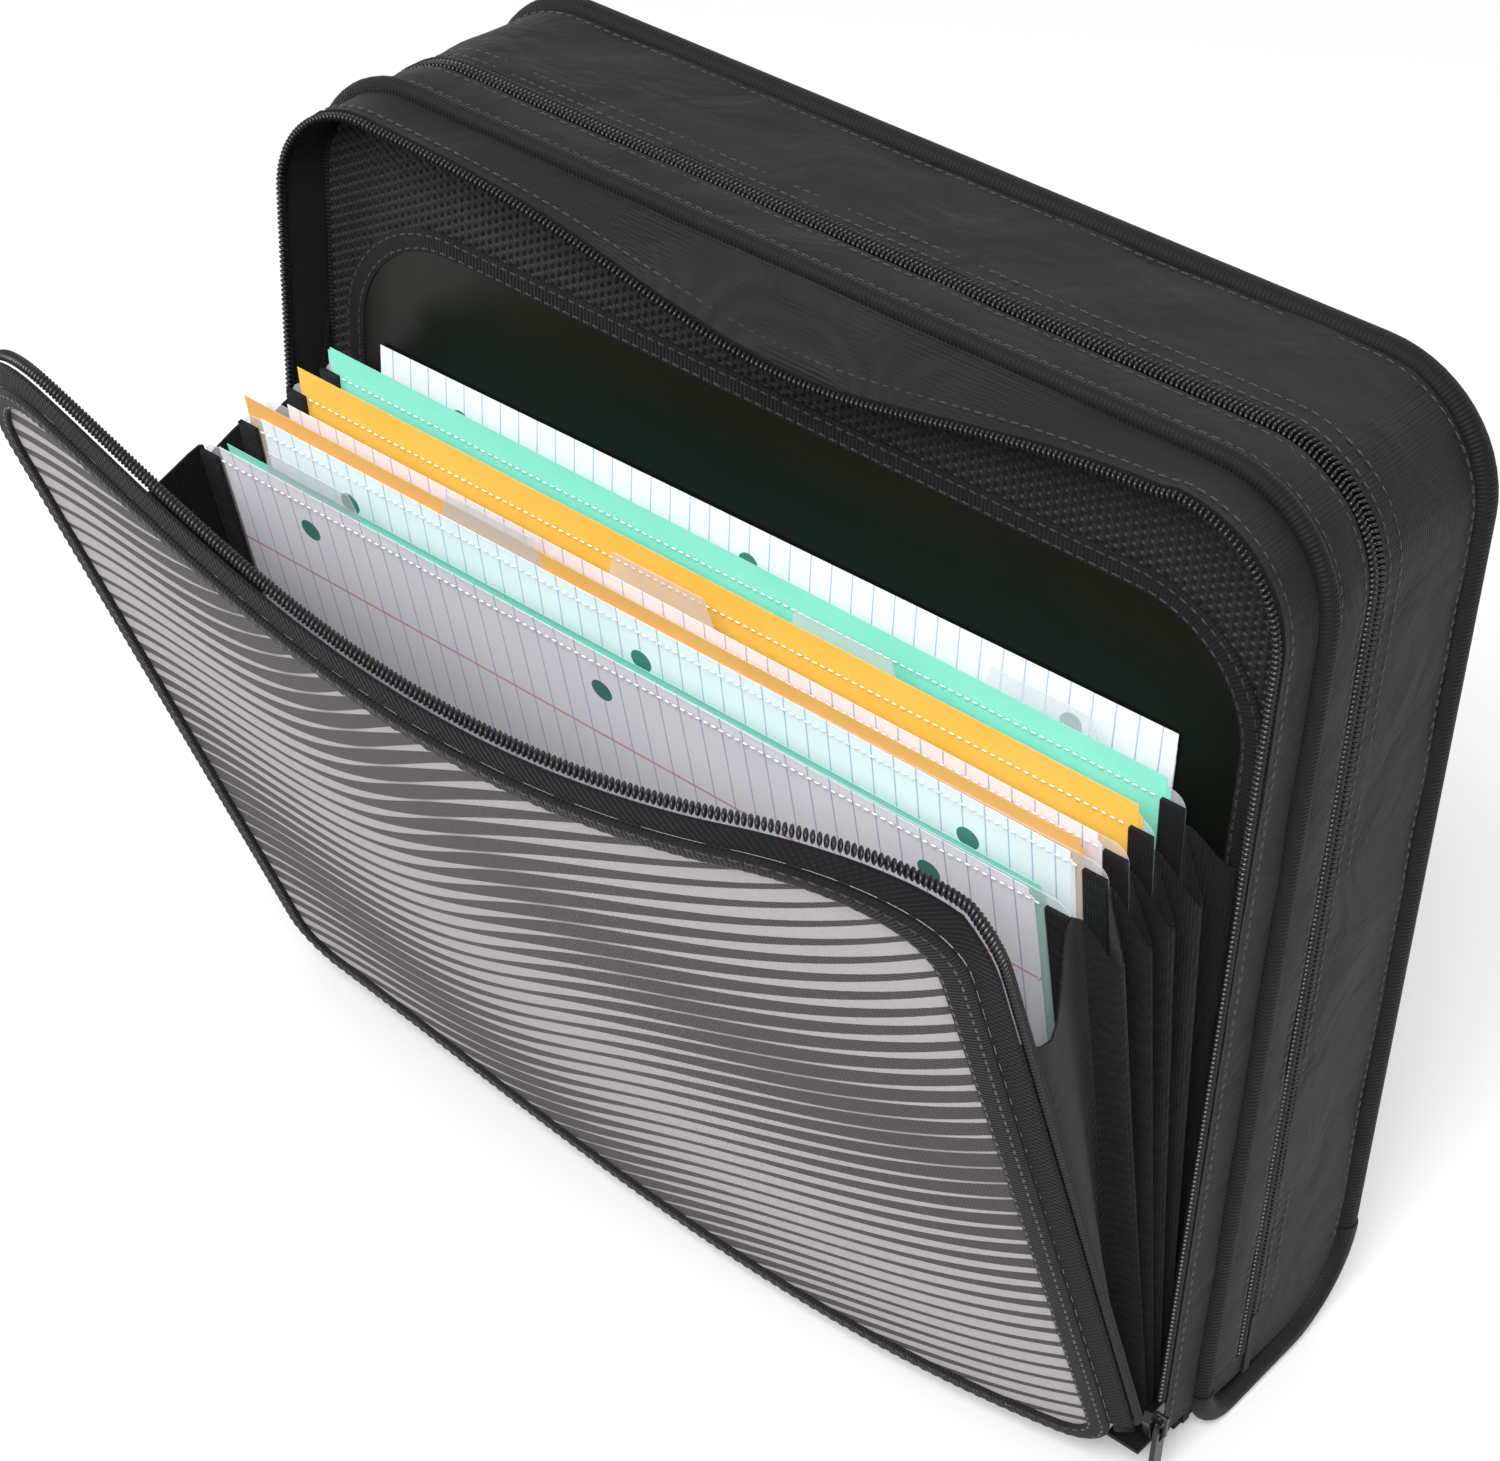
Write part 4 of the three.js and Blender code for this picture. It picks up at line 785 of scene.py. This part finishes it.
def make_case():
    hinge_front, hinge_rear = SPINE_FRONT_RADIUS + SEAM_GAP, SPINE_REAR_RADIUS + SEAM_GAP
    make_spine()
    make_spine_bindings()
    arch_tube("front_cover_tape", FRONT_RADIUS, FRONT_PLANE, hinge_front, "case_front", "front_cover_binding")
    arch_tube("rear_cover_tape", REAR_RADIUS, REAR_PLANE, hinge_rear, "case_rear", "rear_cover_binding")
    front_edge = FRONT_PLANE + FRONT_RADIUS + SEAM_GAP
    rear_edge = REAR_PLANE - REAR_RADIUS - SEAM_GAP
    zip_front, zip_rear = ZIP_PLANE - COIL_WIDTH - SEAM_GAP, ZIP_PLANE + COIL_WIDTH + SEAM_GAP
    arch_wall("front_wall_cloth", front_edge, zip_front, hinge_front, "case_front", "front_wall", 0.5)
    arch_wall("rear_wall_cloth", zip_rear, rear_edge, hinge_rear, "case_rear", "rear_wall", 0.9)
    for name, y, bottom, body in (
        ("front_wall_seam", front_edge + 2, hinge_front, "case_front"),
        ("front_zip_seam", zip_front - 2, hinge_front, "case_front"),
        ("rear_zip_seam", zip_rear + 2, hinge_rear, "case_rear"),
        ("rear_zip_edge_seam", zip_rear + 7, hinge_rear, "case_rear"),
        ("rear_wall_seam", rear_edge - 2, hinge_rear, "case_rear"),
    ):
        arch_stitches(name, FRONT_RADIUS - 0.15, y, bottom, body)
    half = COIL_WIDTH / 2
    coil_row("front_coil", arch_line(COIL_INSET, ZIP_PLANE - half, hinge_front), arch_directions(hinge_front),
             "case_front", "zipper_row_front", 0.3)
    coil_row("rear_coil", arch_line(COIL_INSET, ZIP_PLANE + half, hinge_rear), arch_directions(hinge_rear),
             "case_rear", "zipper_row_rear", -0.3)
    cover_inset = 2 * REAR_RADIUS + SEAM_GAP
    outline = [(x, z) for x, _, z in arch_line(cover_inset, 0, hinge_rear)]
    cover = flat_plate("rear_cover_cloth", outline, REAR_PLANE - REAR_BOARD / 2,
                       REAR_PLANE + REAR_BOARD / 2)
    keep(cover, case_cloth, "case_rear", "case_cloth", ("rear_cover",))
    line = arch_line(cover_inset + 3, REAR_PLANE + REAR_BOARD / 2 + 0.1, hinge_rear + 3)
    stitches("rear_cover_seam", line, [(0, 1, 0)] * len(line), "case_rear")


# File pocket: lining, window, band and its zipper row
def window_line(inset, y):
    half, radius = WINDOW_HALF - inset, WINDOW_RADIUS - inset
    low, high = WINDOW_BOTTOM + inset, WINDOW_TOP - inset
    line = []
    for cx, cz, begin in ((half - radius, low + radius, -90), (half - radius, high - radius, 0),
                          (radius - half, high - radius, 90), (radius - half, low + radius, 180)):
        for i in range(17):
            t = math.radians(begin + 90 * i / 16)
            line.append((cx + radius * math.cos(t), y, cz + radius * math.sin(t)))
    spread = []
    for a, b in zip(line, line[1:] + line[:1]):
        pieces = max(1, round(math.dist(a, b) / 6))
        spread += [tuple(a[c] + (b[c] - a[c]) * i / pieces for c in range(3)) for i in range(pieces)]
    return spread


def window_strip(name, corners):
    """A closed strip round the window; each corner of its section is an inset and a depth."""
    widest = window_line(0, 0)
    lines = []
    for inset, y in corners:
        half = WINDOW_HALF - WINDOW_RADIUS
        middle = (WINDOW_TOP + WINDOW_BOTTOM) / 2
        tall = (WINDOW_TOP - WINDOW_BOTTOM) / 2 - WINDOW_RADIUS
        line = []
        for x, _, z in widest:
            cx, cz = max(-half, min(half, x)), middle + max(-tall, min(tall, z - middle))
            away = Vector((x - cx, 0, z - cz)).normalized()
            line.append((x - away.x * inset, y, z - away.z * inset))
        lines.append(line)
    return loft(name, lines, closed=True)


def make_pocket():
    cover_inset = 2 * FRONT_RADIUS + SEAM_GAP
    outline = [(x, z) for x, _, z in arch_line(cover_inset, 0, POCKET_FLOOR)]
    lining = flat_plate("pocket_lining_cloth", outline, LINING_FRONT, LINING_FRONT + 0.8)
    keep(lining, lining_mesh, "case_front", "case_cloth", ("pocket_lining",))
    back = LINING_FRONT - SEAM_GAP
    pane = [(x, z) for x, _, z in window_line(RIBBON_WIDTH - 1, 0)]
    film_plate = flat_plate("window_film_sheet", pane, back - 0.3, back)
    keep(film_plate, film, "case_front", "window_film", ("window_film",))
    section = [(0, back), (0.2, back - 0.8), (1, back - 1.1), (RIBBON_WIDTH - 1, back - 1.1),
               (RIBBON_WIDTH - 0.2, back - 0.8), (RIBBON_WIDTH, back)]
    ribbon = window_strip("window_ribbon", section)
    keep(ribbon, window_tape, "case_front", "edge_binding", ("window_binding",))
    for name, inset in (("window_outer_seam", 1.4), ("window_inner_seam", RIBBON_WIDTH - 1.4)):
        line = window_line(inset, back - 1.2)
        stitches(name, line, [(0, -1, 0)] * len(line), "case_front", closed=True)
    root, reach = FRONT_PLANE - FRONT_RADIUS - SEAM_GAP, POCKET_FRONT
    shares = [i / 8 for i in range(9)]
    lines = [arch_line(POCKET_INSET + 0.5 * math.sin(math.pi * s), root + (reach - root) * s, POCKET_FLOOR,
                       POCKET_SAG * s ** 1.2) for s in shares]
    lines += [arch_line(POCKET_INSET + CLOTH, root + (reach - root) * s, POCKET_FLOOR, POCKET_SAG * s ** 1.2)
              for s in reversed(shares)]
    band = crumple(loft("pocket_band_cloth", lines), 0.5, 22, (0, 0, 150))
    keep(band, wall_cloth, "case_front", "case_cloth", ("pocket_band",))
    arch_stitches("pocket_band_seam", POCKET_INSET - 0.1, reach + 3, POCKET_FLOOR + 2, "case_front",
                  POCKET_SAG * 0.8)
    middle = (POCKET_FRONT - SEAM_GAP + POCKET_FRONT - COIL_WIDTH) / 2
    coil_row("pocket_coil", arch_line(POCKET_INSET + 1.2, middle, ROW_FOOT, POCKET_SAG),
             arch_directions(ROW_FOOT), "case_front", "pocket_zipper_row", 0.25, 3.3)


# Front panel: print, binding, zipper tape and coil
def panel_point(x, s, height):
    bow = BOW_AT_FOOT + (BOW_AT_TOP - BOW_AT_FOOT) * s / PANEL_LENGTH
    across = max(-1, min(1, x / PANEL_HALF))
    y = -(bow * (1 - across ** 2) * (1 + BOW_SKEW * across) + height)
    return (x, PANEL_PLANE + y * math.cos(PANEL_LEAN) - s * math.sin(PANEL_LEAN),
            PANEL_FOOT + y * math.sin(PANEL_LEAN) + s * math.cos(PANEL_LEAN))


def panel_side(inset):
    """The right edge of the panel, from its foot to its top, as X and the distance up the panel."""
    half, low, high = PANEL_HALF - inset, inset, PANEL_LENGTH - inset
    foot, top = PANEL_FOOT_RADIUS - inset, PANEL_CORNER - inset
    side = []
    for i in range(11):
        t = i / 10 * math.pi / 2
        side.append((half - foot * (1 - math.sin(t)), low + foot * (1 - math.cos(t))))
    for i in range(1, 30):
        side.append((half, low + foot + (high - top - low - foot) * i / 30))
    for i in range(17):
        t = i / 16 * math.pi / 2
        side.append((half - top * (1 - math.cos(t)), high - top * (1 - math.sin(t))))
    return side


def panel_loop(inset):
    side = panel_side(inset)
    low, high = side[0], side[-1]
    loop = list(side)
    loop += [(high[0] * (1 - 2 * i / 60), high[1]) for i in range(1, 60)]
    loop += [(-x, s) for x, s in reversed(side)]
    loop += [(low[0] * (2 * i / 60 - 1), low[1]) for i in range(1, 60)]
    return loop


# The zipper leaves out the panel's foot: these are its first and last points on the panel's rim
RIM_FIRST = 10
RIM_LAST = len(panel_side(0)) * 2 + 59 - 10


def panel_strip(name, corners, closed):
    lines = [[panel_point(x, s, height) for x, s in panel_loop(inset)] for inset, height in corners]
    if not closed:
        lines = [line[RIM_FIRST:RIM_LAST] for line in lines]
    return loft(name, lines, closed)


def panel_row(inset, height):
    """A line round the panel's rim, with its outward directions."""
    line = [panel_point(x, s, height) for x, s in panel_loop(inset)][RIM_FIRST:RIM_LAST]
    inner = [panel_point(x, s, height) for x, s in panel_loop(inset + 2)][RIM_FIRST:RIM_LAST]
    return line, [(Vector(a) - Vector(b)).normalized() for a, b in zip(line, inner)]


def make_panel():
    side = panel_side(0)
    rows = len(side) - 1

    def flat(u, v):
        x, s = side[round(v * rows)]
        return ((2 * u - 1) * x, s)

    panel = sheet_grid("front_panel_cloth", 64, rows, lambda u, v: panel_point(*flat(u, v), PANEL_THICKNESS),
                       lambda u, v: panel_point(*flat(u, v), 0), flat)
    keep(panel, print_cloth, "pocket_front", "print_cloth", ("front_panel", "print_stripes"))
    panel.data.materials.append(lining_mesh)
    inward = Vector((0, math.cos(PANEL_LEAN), math.sin(PANEL_LEAN)))
    for face in panel.data.polygons:
        if face.normal.dot(inward) > 0.3:
            face.material_index = 1
    seam = PANEL_THICKNESS + SEAM_GAP
    section = [(0, seam - 0.5), (-0.3, seam + 0.4), (0.3, seam + 1.2), (2, seam + 1.5), (4.4, seam + 1.4),
               (5.8, seam + 1), (6, seam - 0.3)]
    binding = panel_strip("front_panel_tape", section, True)
    keep(binding, edge_tape, "pocket_front", "edge_binding", ("front_panel_binding",))
    middle = PANEL_THICKNESS / 2
    section = [(-0.3, middle), (-0.3, middle + 1), (-3, middle + 0.3), (-5.8, SEAM_GAP), (-5.8, SEAM_GAP - 1),
               (-3, middle - 0.7)]
    tape = panel_strip("panel_zipper_tape", section, False)
    keep(tape, zip_tape, "pocket_front", "case_cloth", ("front_zipper_tape",))
    line, directions = panel_row(-6, -2.9)
    coil_row("panel_coil", line, directions, "pocket_front", "panel_zipper_row", 0.25, 3.6)
    face = Vector((0, -math.cos(PANEL_LEAN), -math.sin(PANEL_LEAN)))
    for name, inset, height in (("panel_tape_seam", 5, seam + 1.25), ("panel_edge_seam", 1.2, seam + 1.4)):
        line = [panel_point(x, s, height) for x, s in panel_loop(inset)]
        stitches(name, line, [face] * len(line), "pocket_front", closed=True)


# Dividers, sheets and folders
def leaf_point(k, x, y, z):
    turn = LEAF_LEANS[k]
    return (x, LEAF_PLANES[k] + y * math.cos(turn) - z * math.sin(turn),
            LEAF_FOOT + y * math.sin(turn) + z * math.cos(turn))


def leaf_sheet(name, k, width, height, depth, shift, curl, skew, material, slot, replaced):
    """One sheet behind divider k: it bows a little and stands slightly askew."""

    def at(u, v, y):
        x = (u - 0.5) * width
        bend = curl * math.sin(math.pi * u) * v
        return leaf_point(k, x + shift, depth + y + bend, FOOT_LIFT + height * v + skew * (u - 0.5) * v)

    piece = sheet_grid(name, 24, 10, lambda u, v: at(u, v, 0), lambda u, v: at(u, v, SHEET_THICKNESS),
                       lambda u, v: ((u - 0.5) * width, v * height))
    return keep(piece, material, f"leaf_{k + 1}", slot, replaced)


def make_contents():
    stacks = [
        (0, "ruled_sheets_1", paper, "white_paper", PAPER_WIDTH, PAPER_HEIGHT + 1, 0.3, -1),
        (0, "mint_sheet", mint_card, "mint_paper", PAPER_WIDTH, PAPER_HEIGHT + 3, 1.2, 2),
        (1, "ruled_sheets_2", paper, "white_paper", PAPER_WIDTH, PAPER_HEIGHT + 1, 0.3, 0),
        (1, "orange_folder", orange_card, "orange_card", 288, 222, 1.2, -2),
        (2, "ruled_sheets_3", paper, "white_paper", PAPER_WIDTH, PAPER_HEIGHT + 2, 0.3, 2),
        (3, "yellow_folder", yellow_card, "yellow_card", 290, 222, 0.3, 1),
        (3, "ruled_sheets_4", paper, "white_paper", PAPER_WIDTH, PAPER_HEIGHT + 1, 1.2, -2),
        (4, "mint_folder_1", mint_card, "mint_paper", 290, 221, 0.3, 0),
        (4, "mint_folder_2", mint_card, "mint_paper", 290, 219, 1.2, -2),
    ]
    for k, node, material, slot, width, height, depth, shift in stacks:
        for n in range(3):
            leaf_sheet(f"{node}_{n + 1}", k, width - n, height + (1.6, 0, -1.7)[n], depth + SHEET_STEP * n,
                       shift + n - 1, 0.1, (-1.8, -4.2, -2.5)[n], material, slot, (node,))


def make_rear_sheets():
    """The rearmost ruled sheets stand upright against the window."""
    node = "ruled_sheets_5"
    low, high = [[c / MM for c in corner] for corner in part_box(node)]
    for n in range(3):
        rise = (3, 0, -3)[n]
        y = low[1] + SHEET_STEP * n

        def at(u, v, back, rise=rise, y=y):
            top = high[2] - low[2] + rise * (0.4 + u)
            return (low[0] + (high[0] - low[0]) * u, y + back, low[2] + top * v)

        piece = sheet_grid(f"{node}_{n + 1}", 20, 8, lambda u, v: at(u, v, 0),
                           lambda u, v: at(u, v, SHEET_THICKNESS),
                           lambda u, v: ((u - 0.5) * PAPER_WIDTH, v * PAPER_HEIGHT))
        keep(piece, paper, "case_front", "white_paper", (node,))


def make_divider_trim():
    """White stitches below each divider's top edge, and the black hems that carry its two ends."""
    half = LEAF_WIDTH / 2
    for k in range(5):
        body = f"leaf_{k + 1}"
        turn = LEAF_LEANS[k]
        face = (0, -math.cos(turn), -math.sin(turn))
        line = [leaf_point(k, x, -LEAF_THICKNESS - 0.05, LEAF_LENGTH - 3)
                for x in np.linspace(9 - half, half - 9, 80)]
        along(f"divider_seam_{k + 1}", line, [face] * 80, 2.6, (1.7, 0.45, 0.45), white_thread, body,
              "divider_poly")
        for side, word in ((-1, "left"), (1, "right")):
            corners = [(-0.4, -1.1), (6.5, -0.95), (6.5, 0.25), (-0.4, 0.3)]
            rises = [1 + (LEAF_LENGTH - 4) * i / 30 for i in range(31)]
            lines = [[leaf_point(k, side * (half - inset), y, z) for z in rises] for inset, y in corners]
            hem = loft(f"divider_hem_{word}_{k + 1}", lines)
            keep(hem, pleat_cloth, body, "case_cloth")


# Pleated ends
def smooth_line(points, steps):
    """A rounded line through points."""
    knots = [Vector(points[0])] + [Vector(p) for p in points] + [Vector(points[-1])]
    line = []
    for i in range(1, len(knots) - 2):
        a, b, c, d = knots[i - 1:i + 3]
        for n in range(steps):
            t = n / steps
            line.append(0.5 * (2 * b + (c - a) * t + (2 * a - 5 * b + 4 * c - d) * t * t
                               + (3 * b - a - 3 * c + d) * t ** 3))
    return line + [knots[-2]]


def make_pleats():
    """Two folded cloths that join the pocket's back, the dividers and the front panel at their ends."""
    inner, outer = LEAF_WIDTH / 2 + 0.8, LEAF_WIDTH / 2 + 12
    low, scallop = LEAF_FOOT + 0.6, 20
    for side, word in ((-1, "left"), (1, "right")):
        rows = []
        for j in range(15):
            v = j / 14
            up_panel = (low - PANEL_FOOT + 2) * (1 - v) + (LEAF_LENGTH + 4) * v
            lean_point = panel_point(side * (outer - 2), up_panel, -1)
            folds_here = [(outer - 3, lean_point[1], lean_point[2])]
            stops = []
            for k in range(5):
                z = low + (LEAF_LENGTH - low + 6) * v
                stops.append((LEAF_PLANES[k] - (z - LEAF_FOOT) * math.tan(LEAF_LEANS[k]), z))
            root = (FRONT_PLANE - FRONT_RADIUS - 1.6, low + (LEAF_LENGTH + 12 - low) * v)
            before = lean_point[1:]
            for stop in stops + [root]:
                mid_y, mid_z = (before[0] + stop[0]) / 2, (before[1] + stop[1]) / 2 - v * scallop * 0.8
                folds_here.append((outer, mid_y, mid_z))
                if stop is not root:
                    folds_here.append((inner, stop[0], stop[1]))
                before = stop
            folds_here.append((HALF_WIDTH - POCKET_INSET - CLOTH - 1.2, root[0], root[1]))
            rows.append(smooth_line([(side * x, y, z) for x, y, z in folds_here], 5))
        columns = len(rows[0]) - 1
        width = sum((b - a).length for a, b in zip(rows[7], rows[7][1:]))
        tall = sum((b[columns // 2] - a[columns // 2]).length for a, b in zip(rows, rows[1:]))

        def at(u, v, push, rows=rows, side=side, columns=columns):
            point = rows[round(v * 14)][round(u * columns)]
            return (point.x + side * push, point.y, point.z)

        pleat = sheet_grid(f"pleated_end_{word}", columns, 14, lambda u, v: at(u, v, 0),
                           lambda u, v: at(u, v, 0.6), lambda u, v: (u * width, v * tall))
        keep(pleat, pleat_cloth, None, "case_cloth", (f"pleats_{word}",))
        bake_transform(pleat)


def make_metal():
    for node, body in (("main_slider", "main_slider"), ("main_slider_pull", "main_slider_pull"),
                       ("pocket_slider", "case_front"), ("pocket_slider_pull", "pocket_slider_pull"),
                       ("ring_lever_left", "lever_left"), ("ring_lever_right", "lever_right")):
        soften(node, enamel, body, "slider_metal", 0.35)


carry_over_frame()
place_camera()
light_the_set()
lay_floor()
make_case()
make_pocket()
make_panel()
make_contents()
make_rear_sheets()
make_divider_trim()
make_pleats()
make_metal()
